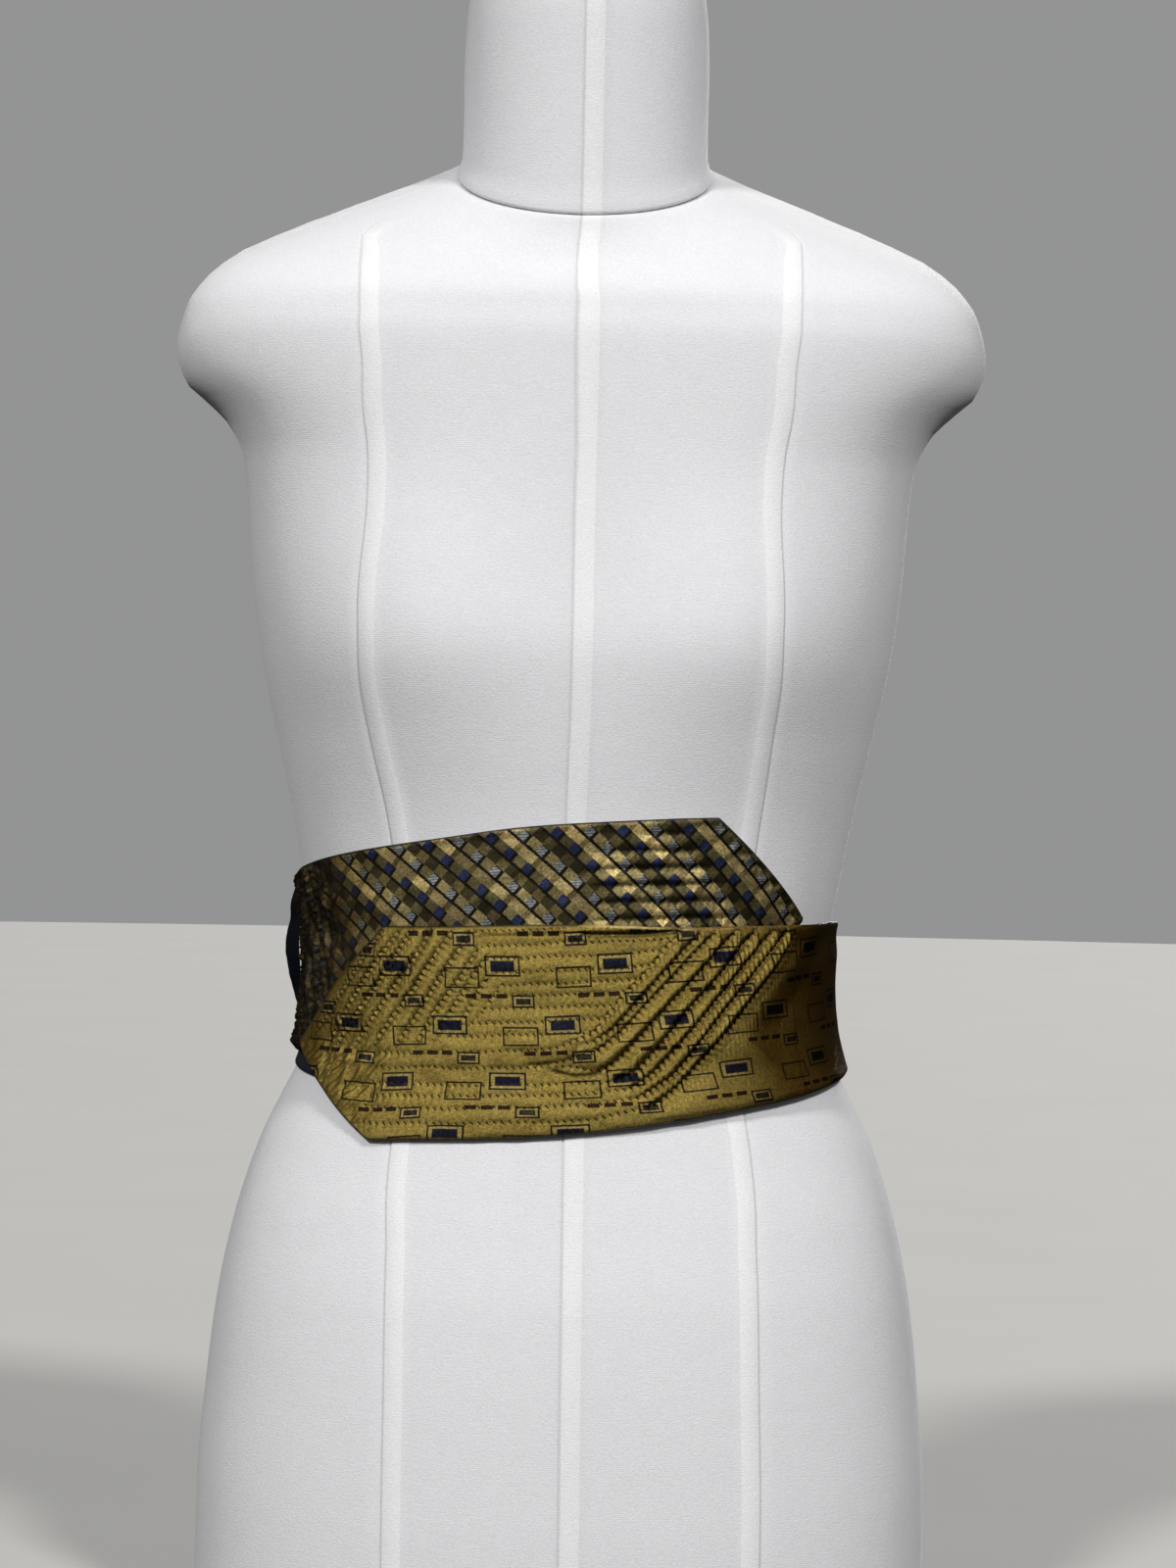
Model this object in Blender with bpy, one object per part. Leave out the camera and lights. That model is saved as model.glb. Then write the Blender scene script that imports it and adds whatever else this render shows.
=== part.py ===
"""An obi sash on a limbless dress form.

The sash is made of two quilted necktie blades over a plain navy satin band. The gold blade points to the
left (-X) and lies on top, the patterned blade points to the right, and both narrow towards the back, where
their ends overlap. The form faces -Y and stands on its base board at Z = 0.

Every piece of the sash is a wall that follows the form: a place on it is a turn round the form (degrees,
0 at the centre front, positive towards +X) and a height. All sizes in the tables are in millimetres.
"""

import math

import bmesh
import bpy
import numpy as np

MM = 0.001
SHARP_ANGLE = math.radians(50)

# The torso's sections. "cap" is how far the shoulder's rounded end stands out at the side, and "tilt" is
# how much a section climbs for each millimetre towards the back.
TORSO_COLUMNS = ("height", "half_width", "cap", "front", "back", "squareness", "tilt")
TORSO = (
    (12.3, 174.8, 0, 107, 118, 2.15, 0.0),
    (60, 174.4, 0, 110, 122, 2.15, 0.0),
    (114, 170.4, 0, 111, 120, 2.15, 0.0),
    (152, 166.0, 0, 110, 115, 2.15, 0.0),
    (190, 158.2, 0, 106, 107, 2.15, 0.0),
    (227, 146.3, 0, 101, 97, 2.10, 0.0),
    (248, 136.3, 0, 97.5, 91, 2.10, 0.0),
    (265, 128.2, 0, 94, 86, 2.10, 0.0),
    (284, 124.0, 0, 91, 82, 2.10, 0.0),
    (303, 122.5, 0, 89, 80, 2.10, 0.0),
    (322, 123.5, 0, 88.5, 80, 2.10, 0.0),
    (341, 127.0, 0, 89.5, 82, 2.10, 0.0),
    (378, 133.8, 0, 91.2, 87, 2.10, 0.0),
    (416, 142.3, 0, 93.2, 95, 2.10, 0.0),
    (454, 150.6, 0, 93.8, 102, 2.20, 0.0),
    (492, 155.8, 0, 90.8, 107, 2.35, 0.0),
    (530, 158.6, 0, 88.8, 110, 2.50, 0.0),
    (550, 160.6, 0.4, 88, 111, 2.60, 0.0),
    (566, 163.5, 5.0, 87.2, 111, 2.75, 0.0),
    (577, 165.5, 14.0, 86.6, 110, 2.85, 0.0),
    (586, 167.0, 22.5, 86, 109, 2.90, 0.0),
    (597, 169.0, 25.0, 85.2, 107, 2.95, 0.0),
    (611, 171.0, 22.6, 84, 104, 2.95, 0.04),
    (624, 171.0, 19.0, 81.5, 100, 2.90, 0.09),
    (637, 167.5, 14.0, 79, 95, 2.80, 0.15),
    (649, 158.0, 9.0, 73, 89, 2.60, 0.21),
    (660.5, 136.5, 3.0, 66, 81, 2.40, 0.29),
    (671, 109.0, 0, 62.5, 73, 2.15, 0.37),
    (681, 79.5, 0, 59.5, 65, 2.05, 0.43),
    (689, 61.8, 0, 58, 59, 2.00, 0.45),
)
TORSO_SEGMENTS = 52
TORSO_RING_GAP = 32.0  # the widest gap between one ring of the mesh and the next
CAP_DEPTH = 66.0  # how far to the front and back of the side line a shoulder's rounded cap fades out

NECK_COLUMNS = ("height", "half_width", "front", "back", "squareness", "tilt")
NECK = (
    (689.4, 61.8, 58, 59, 2.00, 0.45),
    (699, 59.0, 57, 57.5, 2.00, 0.40),
    (716, 58.8, 57, 57.5, 2.00, 0.27),
    (736, 59.0, 57, 58, 2.00, 0.13),
    (758, 58.4, 57, 58, 2.00, 0.03),
    (776, 56.6, 55.5, 56.5, 2.00, 0.0),
    (783, 54.6, 53.5, 54.5, 2.00, 0.0),
    (785.5, 51.0, 50, 51, 2.00, 0.0),
)
NECK_SEGMENTS = 44
NECK_RING_GAP = 26.0

# The bust: one soft rise on each side of the centre front.
BUST_RISE = 16.0
BUST_HEIGHT = 463.0
BUST_APART = 84.0  # from the centre front
BUST_SPREAD = 44.0

BASE_BOARD = 12.0  # thickness
BASE_INSET = 4.0
BASE_ROUND = 2.5

# The long edges of each piece of the sash, before a blade's point is cut.
EDGE_COLUMNS = ("turn", "top", "bottom")
GOLD_EDGES = (
    (-80.0, 330.0, 229.6),
    (-41.4, 330.1, 230.0),
    (-25.0, 330.8, 231.8),
    (-7.0, 332.4, 234.2),
    (5.0, 332.8, 237.4),
    (22.5, 332.2, 243.0),
    (37.0, 333.2, 247.6),
    (51.5, 333.6, 251.5),
    (67.5, 334.2, 256.0),
    (85.0, 333.8, 260.0),
    (115.0, 331.5, 266.0),
    (150.0, 330.0, 270.5),
    (190.0, 329.0, 273.0),
)
PATTERNED_EDGES = (
    (-178.0, 335.0, 276.0),
    (-150.0, 338.0, 274.5),
    (-120.0, 344.0, 271.0),
    (-93.0, 350.8, 267.5),
    (-73.0, 356.4, 266.5),
    (-51.0, 363.2, 270.5),
    (-26.0, 371.0, 278.0),
    (-9.0, 376.8, 282.0),
    (4.0, 379.7, 284.0),
    (28.8, 383.0, 285.3),
    (64.0, 384.0, 286.5),
)
NAVY_EDGES = (
    (-180.0, 318.0, 284.0),
    (-120.0, 314.0, 268.0),
    (-71.5, 308.0, 258.3),
    (-50.0, 306.0, 255.0),
    (0.0, 304.0, 253.0),
    (60.0, 306.0, 262.0),
    (120.0, 314.0, 274.0),
    (180.0, 318.0, 284.0),
)

NAVY_COLUMNS = 60
NAVY_ROWS = 3

# Each blade's point: its apex, and the turn of the two corners where the long edges begin.
GOLD_POINT = {"apex": -73.7, "height": 271.0, "top_corner": -41.4, "bottom_corner": -37.6, "blunt": 5.0}
PATTERNED_POINT = {"apex": 57.8, "height": 335.6, "top_corner": 28.8, "bottom_corner": 32.4, "blunt": 4.0}
GOLD_END = 190.0
PATTERNED_END = -178.0
POINT_EDGE_SLANT = 0.72  # a millimetre round the form, measured straight across a point's slanting edge

CLEAR = 0.7  # between one layer and the next, and between the sash and the form
NAVY_THICK = 1.1
PATTERNED_THICK = 2.2
GOLD_THICK = 2.6
RIM_TUCK = 0.35  # how far a rolled edge draws in, as a share of the wall
LEDGE_SPREAD = 16.0  # the length over which an upper layer settles past a lower one's edge
LEDGE_MARGIN = 6.0

PUFF_FULLNESS = 0.8  # below 1 the quilted rows are full and the grooves between them narrow

# Quilting of the gold blade.
GOLD_CHANNEL = 6.2
GOLD_GROOVE = 0.85
GOLD_CHANNELS = 16
POINT_SLOPE = math.radians(46)  # the rows of stitches along the point's upper edge
POINT_ROWS = 5
SLANT_SLOPE = math.radians(47)  # the raised ridges on the right of the front
SLANT_BEND_TURN = 6.0  # where the middle height's row turns from level to slanting
SLANT_END_TURN = 50.0  # where the last ridge meets the top edge
SLANT_RISE = 0.55  # what the slanting ridges stand proud of the level rows
SLANT_RISE_ROWS = 2.0  # the rows over which that rise builds up
LAST_GROOVE_ROWS = 1.2  # how far past the last ridge its groove fades out, in rows
LAST_GROOVE_SHARE = 0.6
GOLD_PLAIN_TURN = 62.0  # past here the blade is plain, and its columns lie farther apart

# Quilting of the patterned blade, near its point only.
PATTERNED_CHANNEL = 8.0
PATTERNED_GROOVE = 0.7
PATTERNED_CHANNELS = 12
PATTERNED_QUILT_TURN = 3.0
PATTERNED_BORDER = 7.0  # the plain margin inside the point's edge

# The satin loop and the hanging tape behind the left side.
LOOP_TURN = -99.0
LOOP_TOP = 347.0
LOOP_BOTTOM = 286.0
LOOP_WIDE = 15.0
LOOP_NARROW = 6.0
LOOP_BULGE = 8.6  # how far its middle stands off the blade under it
LOOP_FULLNESS = 0.7
LOOP_SPREAD = 2.2  # it reaches its full width this much sooner than its full height
LOOP_ROUND = 0.85  # where the rounding of its top begins, as a share of its height
LOOP_TIP = 0.78  # how much of its width, squared, the rounding takes away
LOOP_STEPS = 12
LOOP_THICK = 1.4
TAPE_TURN = -104.0
TAPE_TOP = 331.0
TAPE_BOTTOM = 291.0
TAPE_WIDE = 5.0
TAPE_THICK = 1.0
TAPE_STEPS = 8

COLOURS = {
    # name: (base colour, roughness, sheen)
    "white_knit": ((0.72, 0.72, 0.74, 1.0), 0.85, 0.3),
    "gold_silk": ((0.30, 0.23, 0.07, 1.0), 0.42, 0.4),
    "patterned_silk": ((0.16, 0.13, 0.06, 1.0), 0.50, 0.4),
    "navy_satin": ((0.030, 0.034, 0.055, 1.0), 0.40, 0.4),
    "base_board": ((0.55, 0.55, 0.55, 1.0), 0.60, 0.0),
}


# ---------------------------------------------------------------- curves through tables


def column(table, columns, name):
    return np.array([row[columns.index(name)] for row in table], float)


def smooth(table, columns, name, along, at):
    """The named column at a place, on a cubic that never swings past its own rows."""
    x = column(table, columns, along)
    y = column(table, columns, name)
    step = np.diff(x)
    slope = np.diff(y) / step
    tangent = np.zeros_like(y)
    tangent[0], tangent[-1] = slope[0], slope[-1]
    rising = slope[:-1] * slope[1:] > 0
    weight = (step[:-1] + step[1:]) * 3
    inner = np.zeros(len(x) - 2)
    before = slope[:-1][rising]
    after = slope[1:][rising]
    first = (2 * step[1:] + step[:-1])[rising]
    last = (step[1:] + 2 * step[:-1])[rising]
    inner[rising] = weight[rising] / (first / before + last / after)
    tangent[1:-1] = inner
    at = np.clip(at, x[0], x[-1])
    i = np.clip(np.searchsorted(x, at, side="right") - 1, 0, len(x) - 2)
    h = step[i]
    t = (at - x[i]) / h
    return (
        (2 * t**3 - 3 * t**2 + 1) * y[i]
        + (t**3 - 2 * t**2 + t) * h * tangent[i]
        + (3 * t**2 - 2 * t**3) * y[i + 1]
        + (t**3 - t**2) * h * tangent[i + 1]
    )


def ease(value):
    """0 below 0, 1 above 1, and a smooth step between."""
    value = min(max(value, 0.0), 1.0)
    return value * value * (3 - 2 * value)


# ---------------------------------------------------------------- the form's surface


def bust(x, z):
    """How far the bust stands proud at a place on the front."""
    rise = 0.0
    for side in (-1, 1):
        away = ((x - side * BUST_APART) / BUST_SPREAD) ** 2 + ((z - BUST_HEIGHT) / BUST_SPREAD) ** 2
        rise += math.exp(-away / 2)
    return BUST_RISE * rise


def section_point(table, columns, turn, height, inset=0.0):
    """A point of the section at this height: an oval that is squarer than an ellipse by its squareness."""
    sin, cos = math.sin(turn), math.cos(turn)
    half = smooth(table, columns, "half_width", "height", height) - inset
    depth = smooth(table, columns, "front" if cos > 0 else "back", "height", height) - inset
    power = 2 / smooth(table, columns, "squareness", "height", height)
    x = half * math.copysign(abs(sin) ** power, sin)
    y = -depth * math.copysign(abs(cos) ** power, cos)
    z = height + smooth(table, columns, "tilt", "height", height) * y
    return np.array([x, y, z])


def torso_point(turn, height):
    point = section_point(TORSO, TORSO_COLUMNS, turn, height)
    cap = smooth(TORSO, TORSO_COLUMNS, "cap", "height", height)
    fade = math.exp(-((point[1] / CAP_DEPTH) ** 2)) * math.sin(turn) ** 2
    point[0] += math.copysign(cap, point[0]) * fade
    if math.cos(turn) > 0:
        point[1] -= bust(point[0], point[2]) * math.cos(turn)
    return point


def over_form(degrees, height, lift):
    """A point this far off the torso, straight out from its surface."""
    turn = math.radians(degrees)
    near = 0.01
    across = torso_point(turn + near, height) - torso_point(turn - near, height)
    upward = torso_point(turn, height + 1) - torso_point(turn, height - 1)
    out = np.cross(across, upward)
    return torso_point(turn, height) + lift * out / np.linalg.norm(out)


WAIST = 303.0
TURN_STEPS = np.arange(-270.0, 271.0, 1.0)
TURN_POINTS = np.array([torso_point(math.radians(d), WAIST) for d in TURN_STEPS])
TURN_LENGTHS = np.concatenate([[0.0], np.cumsum(np.linalg.norm(np.diff(TURN_POINTS, axis=0), axis=1))])


def length_at(degrees):
    """The distance round the waist from the centre front, in millimetres."""
    return float(np.interp(degrees, TURN_STEPS, TURN_LENGTHS) - np.interp(0.0, TURN_STEPS, TURN_LENGTHS))


def turn_at(length):
    zero = np.interp(0.0, TURN_STEPS, TURN_LENGTHS)
    return float(np.interp(length + zero, TURN_LENGTHS, TURN_STEPS))


# ---------------------------------------------------------------- the outlines of the sash


def long_edges(edges, turn):
    """(top, bottom) of a piece's long edges at a turn."""
    return (
        float(smooth(edges, EDGE_COLUMNS, "top", "turn", turn)),
        float(smooth(edges, EDGE_COLUMNS, "bottom", "turn", turn)),
    )


def cut_edges(edges, point, turn):
    """(top, bottom) with the blade's point cut: straight from its blunt apex to its two corners."""
    top, bottom = long_edges(edges, turn)
    apex = length_at(point["apex"])
    here = length_at(turn)
    share_top = abs(here - apex) / abs(length_at(point["top_corner"]) - apex)
    share_bottom = abs(here - apex) / abs(length_at(point["bottom_corner"]) - apex)
    high = point["height"] + point["blunt"] / 2
    low = point["height"] - point["blunt"] / 2
    if share_top < 1:
        top = high + (top - high) * share_top
    if share_bottom < 1:
        bottom = low + (bottom - low) * share_bottom
    return top, bottom


def beyond(edges, point, end, turn, height):
    """How far a place lies outside a piece, in millimetres: negative inside."""
    top, bottom = long_edges(edges, turn)
    outside = max(height - top, bottom - height)
    here = length_at(turn)
    if point:
        toward = 1 if point["apex"] > end else -1
        apex = length_at(point["apex"])
        edge_top, edge_bottom = long_edges(edges, point["top_corner"])
        corner = "top_corner" if height > point["height"] else "bottom_corner"
        reach = edge_top - point["height"] if height > point["height"] else point["height"] - edge_bottom
        share = min(abs(height - point["height"]) / reach, 1.0)
        edge = apex + (length_at(point[corner]) - apex) * share
        outside = max(outside, toward * (here - edge) * POINT_EDGE_SLANT, -toward * (here - length_at(end)))
    return outside


def wrapped(turn):
    """The same direction, between -180 and 180 degrees."""
    return (turn + 180.0) % 360.0 - 180.0


def cover(outside):
    """1 over a lower layer, easing to 0 past its edge."""
    return ease(1 - (outside - LEDGE_MARGIN) / LEDGE_SPREAD)


def navy_cover(turn, height):
    return cover(beyond(NAVY_EDGES, None, 0, wrapped(turn), height))


def patterned_cover(turn, height):
    """The blade ends at the back, so a place there is measured from both ways round the form."""
    here = wrapped(turn)
    ways = (here, here - 360) if here > 90 else (here,)
    return cover(min(beyond(PATTERNED_EDGES, PATTERNED_POINT, PATTERNED_END, w, height) for w in ways))


def patterned_lift(turn, height):
    return CLEAR + navy_cover(turn, height) * (NAVY_THICK + CLEAR)


def gold_lift(turn, height):
    return patterned_lift(turn, height) + patterned_cover(turn, height) * (PATTERNED_THICK + CLEAR)


# ---------------------------------------------------------------- quilting


def channel(phase):
    """The puff between two rows of stitches: 0 at a row, 1 midway."""
    return abs(math.sin(math.pi * phase)) ** PUFF_FULLNESS


def gold_quilt(turn, height):
    """How far the gold blade's outer face sinks (negative) or stands proud at a place."""
    top, bottom = long_edges(GOLD_EDGES, turn)
    up = (height - bottom) / (top - bottom) * GOLD_CHANNELS * GOLD_CHANNEL
    here = length_at(turn)
    full = GOLD_CHANNELS * GOLD_CHANNEL
    level = up / GOLD_CHANNEL

    # Rows along the point's upper edge, counted from that edge inwards.
    corner = length_at(GOLD_POINT["top_corner"])
    inward = (here - corner) * math.sin(POINT_SLOPE) + (full - up) * math.cos(POINT_SLOPE)
    rows_in = inward / GOLD_CHANNEL
    if rows_in < POINT_ROWS:
        return -GOLD_GROOVE * (1 - channel(rows_in))

    # The rows turn from level to slanting, and the last slanting one ends the quilting.
    middle = full / 2
    past_bend = here - length_at(SLANT_BEND_TURN)
    across = -past_bend * math.sin(SLANT_SLOPE) + (up - middle) * math.cos(SLANT_SLOPE)
    slant = (across + middle) / GOLD_CHANNEL
    last = (
        -(length_at(SLANT_END_TURN) - length_at(SLANT_BEND_TURN)) * math.sin(SLANT_SLOPE)
        + middle * math.cos(SLANT_SLOPE)
        + middle
    ) / GOLD_CHANNEL
    if slant < last:
        return -GOLD_GROOVE * LAST_GROOVE_SHARE * ease(1 - (last - slant) / LAST_GROOVE_ROWS)
    if slant < level:
        raised = SLANT_RISE * ease((level - slant) / SLANT_RISE_ROWS)
        return (raised + GOLD_GROOVE) * channel(slant) - GOLD_GROOVE
    return -GOLD_GROOVE * (1 - channel(level))


def patterned_quilt(turn, height):
    """The patterned blade's level rows, which stop short of its point and of its plain length."""
    top, bottom = long_edges(PATTERNED_EDGES, turn)
    outside = beyond(PATTERNED_EDGES, PATTERNED_POINT, PATTERNED_END, turn, height)
    if turn < PATTERNED_QUILT_TURN or outside > -PATTERNED_BORDER:
        return 0.0
    level = (height - bottom) / (top - bottom) * PATTERNED_CHANNELS
    fade = ease((length_at(turn) - length_at(PATTERNED_QUILT_TURN)) / PATTERNED_CHANNEL)
    return -PATTERNED_GROOVE * fade * (1 - channel(level))


# ---------------------------------------------------------------- meshes


def add_object(name, points, faces, material):
    mesh = bpy.data.meshes.new(name)
    mesh.from_pydata([tuple(float(c) * MM for c in p) for p in points], [], faces)
    shape = bmesh.new()
    shape.from_mesh(mesh)
    bmesh.ops.triangulate(shape, faces=[f for f in shape.faces if len(f.verts) > 3])
    bmesh.ops.recalc_face_normals(shape, faces=shape.faces)
    shape.to_mesh(mesh)
    shape.free()
    mesh.shade_smooth()
    mesh.set_sharp_from_angle(angle=SHARP_ANGLE)
    mesh.materials.append(MATERIALS[material])
    made = bpy.data.objects.new(name, mesh)
    bpy.context.scene.collection.objects.link(made)
    return made


def stacked_rings(rings, name, material):
    """A closed solid through rings of as many points each, with flat ends."""
    count = len(rings[0])
    points = [p for ring in rings for p in ring]
    faces = [tuple(range(count))[::-1], tuple((len(rings) - 1) * count + i for i in range(count))]
    for r in range(len(rings) - 1):
        low, high = r * count, (r + 1) * count
        for i in range(count):
            j = (i + 1) % count
            faces.append((low + i, low + j, high + j, high + i))
    return add_object(name, points, faces, material)


def zip_faces(first, first_at, second, second_at):
    """Triangles between two rows of vertex numbers that run the same way, given where their points lie."""
    faces = []
    i = j = 0
    while i < len(first) - 1 or j < len(second) - 1:
        if j == len(second) - 1 or (i < len(first) - 1 and first_at[i + 1] <= second_at[j + 1]):
            faces.append((first[i], first[i + 1], second[j]))
            i += 1
        else:
            faces.append((first[i], second[j + 1], second[j]))
            j += 1
    return faces


def wall(name, outer, outer_at, inner, inner_at, material):
    """A closed wall between an outer grid of points and a coarser inner one. Each grid is a list of columns,
    and each list of places says how far along the piece its columns lie."""
    points, faces = [], []
    numbers = []
    for grid in (outer, inner):
        rows = len(grid[0])
        start = len(points)
        points.extend(p for col in grid for p in col)
        numbers.append([[start + c * rows + r for r in range(rows)] for c in range(len(grid))])
    for grid in numbers:
        for c in range(len(grid) - 1):
            for r in range(len(grid[0]) - 1):
                faces.append((grid[c][r], grid[c + 1][r], grid[c + 1][r + 1], grid[c][r + 1]))
    out, back = numbers
    for edge in (0, -1):
        faces += zip_faces([col[edge] for col in out], outer_at, [col[edge] for col in back], inner_at)
        up_out, up_back = np.linspace(0, 1, len(out[edge])), np.linspace(0, 1, len(back[edge]))
        faces += zip_faces(out[edge], up_out, back[edge], up_back)
    return add_object(name, points, faces, material)


def ring_band(name, outer, inner, material):
    """A closed band round the form, from two grids of columns whose last column meets the first."""
    points = [p for grid in (outer, inner) for col in grid for p in col]
    columns, rows = len(outer), len(outer[0])
    size = columns * rows
    faces = []
    for c in range(columns):
        here, after = c * rows, ((c + 1) % columns) * rows
        for r in range(rows - 1):
            faces.append((here + r, after + r, after + r + 1, here + r + 1))
            faces.append((size + here + r, size + here + r + 1, size + after + r + 1, size + after + r))
        for r in (0, rows - 1):
            faces.append((here + r, after + r, size + after + r, size + here + r))
    return add_object(name, points, faces, material)


# ---------------------------------------------------------------- the pieces


def ring_heights(table, columns, widest):
    """The table's own heights, with more between rows that lie far apart."""
    heights = column(table, columns, "height")
    found = []
    for low, high in zip(heights[:-1], heights[1:]):
        parts = max(1, math.ceil((high - low) / widest))
        found.extend(low + (high - low) * i / parts for i in range(parts))
    return found + [heights[-1]]


def make_base_board():
    """The board that closes the form's foot, rounded at both rims."""
    rings = []
    bottom = TORSO[0][0]
    levels = (
        (0.0, BASE_ROUND),
        (BASE_ROUND, 0.0),
        (BASE_BOARD - BASE_ROUND, 0.0),
        (BASE_BOARD, BASE_ROUND),
    )
    for height, inset in levels:
        ring = []
        for i in range(TORSO_SEGMENTS):
            turn = 2 * math.pi * i / TORSO_SEGMENTS
            point = section_point(TORSO, TORSO_COLUMNS, turn, bottom, BASE_INSET + inset)
            ring.append((point[0], point[1], height))
        rings.append(ring)
    return stacked_rings(rings, "form_base", "base_board")


def make_torso():
    turns = [2 * math.pi * i / TORSO_SEGMENTS for i in range(TORSO_SEGMENTS)]
    rings = [[torso_point(t, h) for t in turns] for h in ring_heights(TORSO, TORSO_COLUMNS, TORSO_RING_GAP)]
    return stacked_rings(rings, "form_torso", "white_knit")


def make_neck():
    turns = [2 * math.pi * i / NECK_SEGMENTS for i in range(NECK_SEGMENTS)]
    rings = [
        [section_point(NECK, NECK_COLUMNS, t, h) for t in turns]
        for h in ring_heights(NECK, NECK_COLUMNS, NECK_RING_GAP)
    ]
    return stacked_rings(rings, "form_neck", "white_knit")


def column_turns(start, stops, steps):
    """Turns along a piece: from start to each stop in even lengths of about that stop's step."""
    turns = [start]
    for stop, step in zip(stops, steps):
        begin, finish = length_at(turns[-1]), length_at(stop)
        parts = max(1, round(abs(finish - begin) / step))
        turns.extend(turn_at(begin + (finish - begin) * i / parts) for i in range(1, parts + 1))
    return turns


def places(turns):
    """How far along a piece its columns lie."""
    return [abs(length_at(turn) - length_at(turns[0])) for turn in turns]


def blade_grid(edges, point, turns, rows, face):
    """Columns of points over the form: face(turn, height, share) gives each point's distance from it."""
    grid = []
    for turn in turns:
        top, bottom = cut_edges(edges, point, turn)
        heights = [bottom + (top - bottom) * r / rows for r in range(rows + 1)]
        grid.append([over_form(turn, h, face(turn, h, r / rows)) for r, h in enumerate(heights)])
    return grid


def rim(share, rows):
    """1 on a face's outermost row, 0 on the others."""
    return 1.0 if share * rows < 0.5 or (1 - share) * rows < 0.5 else 0.0


def make_navy_band():
    turns = [-180.0 + 360.0 * i / NAVY_COLUMNS for i in range(NAVY_COLUMNS)]
    outer, inner = [], []
    for turn in turns:
        top, bottom = long_edges(NAVY_EDGES, turn)
        heights = [bottom + (top - bottom) * r / NAVY_ROWS for r in range(NAVY_ROWS + 1)]
        tucks = [RIM_TUCK * rim(r / NAVY_ROWS, NAVY_ROWS) for r in range(NAVY_ROWS + 1)]
        outer.append([over_form(turn, h, CLEAR + NAVY_THICK * (1 - t)) for h, t in zip(heights, tucks)])
        inner.append([over_form(turn, h, CLEAR) for h in heights])
    return ring_band("navy_band", outer, inner, "navy_satin")


def make_patterned_blade():
    rows, back_rows = 2 * PATTERNED_CHANNELS, 6
    corner = PATTERNED_POINT["top_corner"]
    stops = (corner, PATTERNED_QUILT_TURN, PATTERNED_END)
    fine = column_turns(PATTERNED_POINT["apex"], stops, (4.4, 5.0, 12.0))
    coarse = column_turns(PATTERNED_POINT["apex"], (corner, PATTERNED_END), (9.0, 12.0))

    def outer(turn, height, share):
        edge = rim(share, rows)
        thick = PATTERNED_THICK * (1 - RIM_TUCK * edge)
        return patterned_lift(turn, height) + thick + patterned_quilt(turn, height) * (1 - edge)

    def inner(turn, height, share):
        return patterned_lift(turn, height)

    return wall(
        "patterned_blade",
        blade_grid(PATTERNED_EDGES, PATTERNED_POINT, fine, rows, outer),
        places(fine),
        blade_grid(PATTERNED_EDGES, PATTERNED_POINT, coarse, back_rows, inner),
        places(coarse),
        "patterned_silk",
    )


def make_gold_blade():
    rows, back_rows = 2 * GOLD_CHANNELS, 8
    stops = (GOLD_POINT["top_corner"], GOLD_PLAIN_TURN, GOLD_END)
    fine = column_turns(GOLD_POINT["apex"], stops, (4.8, 4.8, 12.5))
    coarse = column_turns(GOLD_POINT["apex"], stops, (9.0, 10.0, 12.0))

    def outer(turn, height, share):
        edge = rim(share, rows)
        thick = GOLD_THICK * (1 - RIM_TUCK * edge)
        return gold_lift(turn, height) + thick + gold_quilt(turn, height) * (1 - edge)

    def inner(turn, height, share):
        return gold_lift(turn, height)

    return wall(
        "gold_blade",
        blade_grid(GOLD_EDGES, GOLD_POINT, fine, rows, outer),
        places(fine),
        blade_grid(GOLD_EDGES, GOLD_POINT, coarse, back_rows, inner),
        places(coarse),
        "gold_silk",
    )


def upright_strip(name, turn, levels, material, thick):
    """A narrow strip up the outside of the sash. Each level is (height, half width in degrees, distance)."""
    outer, inner = [], []
    for height, half, lift in levels:
        across = (-1.0, -0.5, 0.5, 1.0)
        soften = [thick * (1 - RIM_TUCK * (abs(a) == 1.0)) for a in across]
        outer.append([over_form(turn + a * half, height, lift + s) for a, s in zip(across, soften)])
        inner.append([over_form(turn + a * half, height, lift) for a in across])
    heights = [level[0] for level in levels]
    return wall(name, outer, heights, inner, heights, material)


def length_per_degree(turn):
    return (length_at(turn + 5) - length_at(turn - 5)) / 10


def loop_ground(height):
    """How far the loop's inner face stands off the form."""
    share = (height - LOOP_BOTTOM) / (LOOP_TOP - LOOP_BOTTOM)
    bulge = LOOP_BULGE * abs(math.sin(math.pi * share)) ** LOOP_FULLNESS
    return patterned_lift(LOOP_TURN, height) + PATTERNED_THICK + CLEAR + bulge


def make_navy_loop():
    """A loop of the satin standing a little off the patterned blade, rounded above and drawn in below."""
    levels = []
    for i in range(LOOP_STEPS + 1):
        share = i / LOOP_STEPS
        height = LOOP_BOTTOM + (LOOP_TOP - LOOP_BOTTOM) * share
        width = LOOP_NARROW + (LOOP_WIDE - LOOP_NARROW) * ease(share * LOOP_SPREAD)
        if share > LOOP_ROUND:
            past = (share - LOOP_ROUND) / (1 - LOOP_ROUND)
            width *= math.sqrt(1 - LOOP_TIP * past**2)
        levels.append((height, width / 2 / length_per_degree(LOOP_TURN), loop_ground(height)))
    return upright_strip("navy_loop", LOOP_TURN, levels, "navy_satin", LOOP_THICK)


def make_navy_tape():
    """The narrow tape end that hangs over the loop."""
    levels = []
    for i in range(TAPE_STEPS + 1):
        height = TAPE_BOTTOM + (TAPE_TOP - TAPE_BOTTOM) * i / TAPE_STEPS
        lift = loop_ground(height) + LOOP_THICK + CLEAR
        levels.append((height, TAPE_WIDE / 2 / length_per_degree(TAPE_TURN), lift))
    return upright_strip("navy_tape", TAPE_TURN, levels, "navy_satin", TAPE_THICK)


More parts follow.
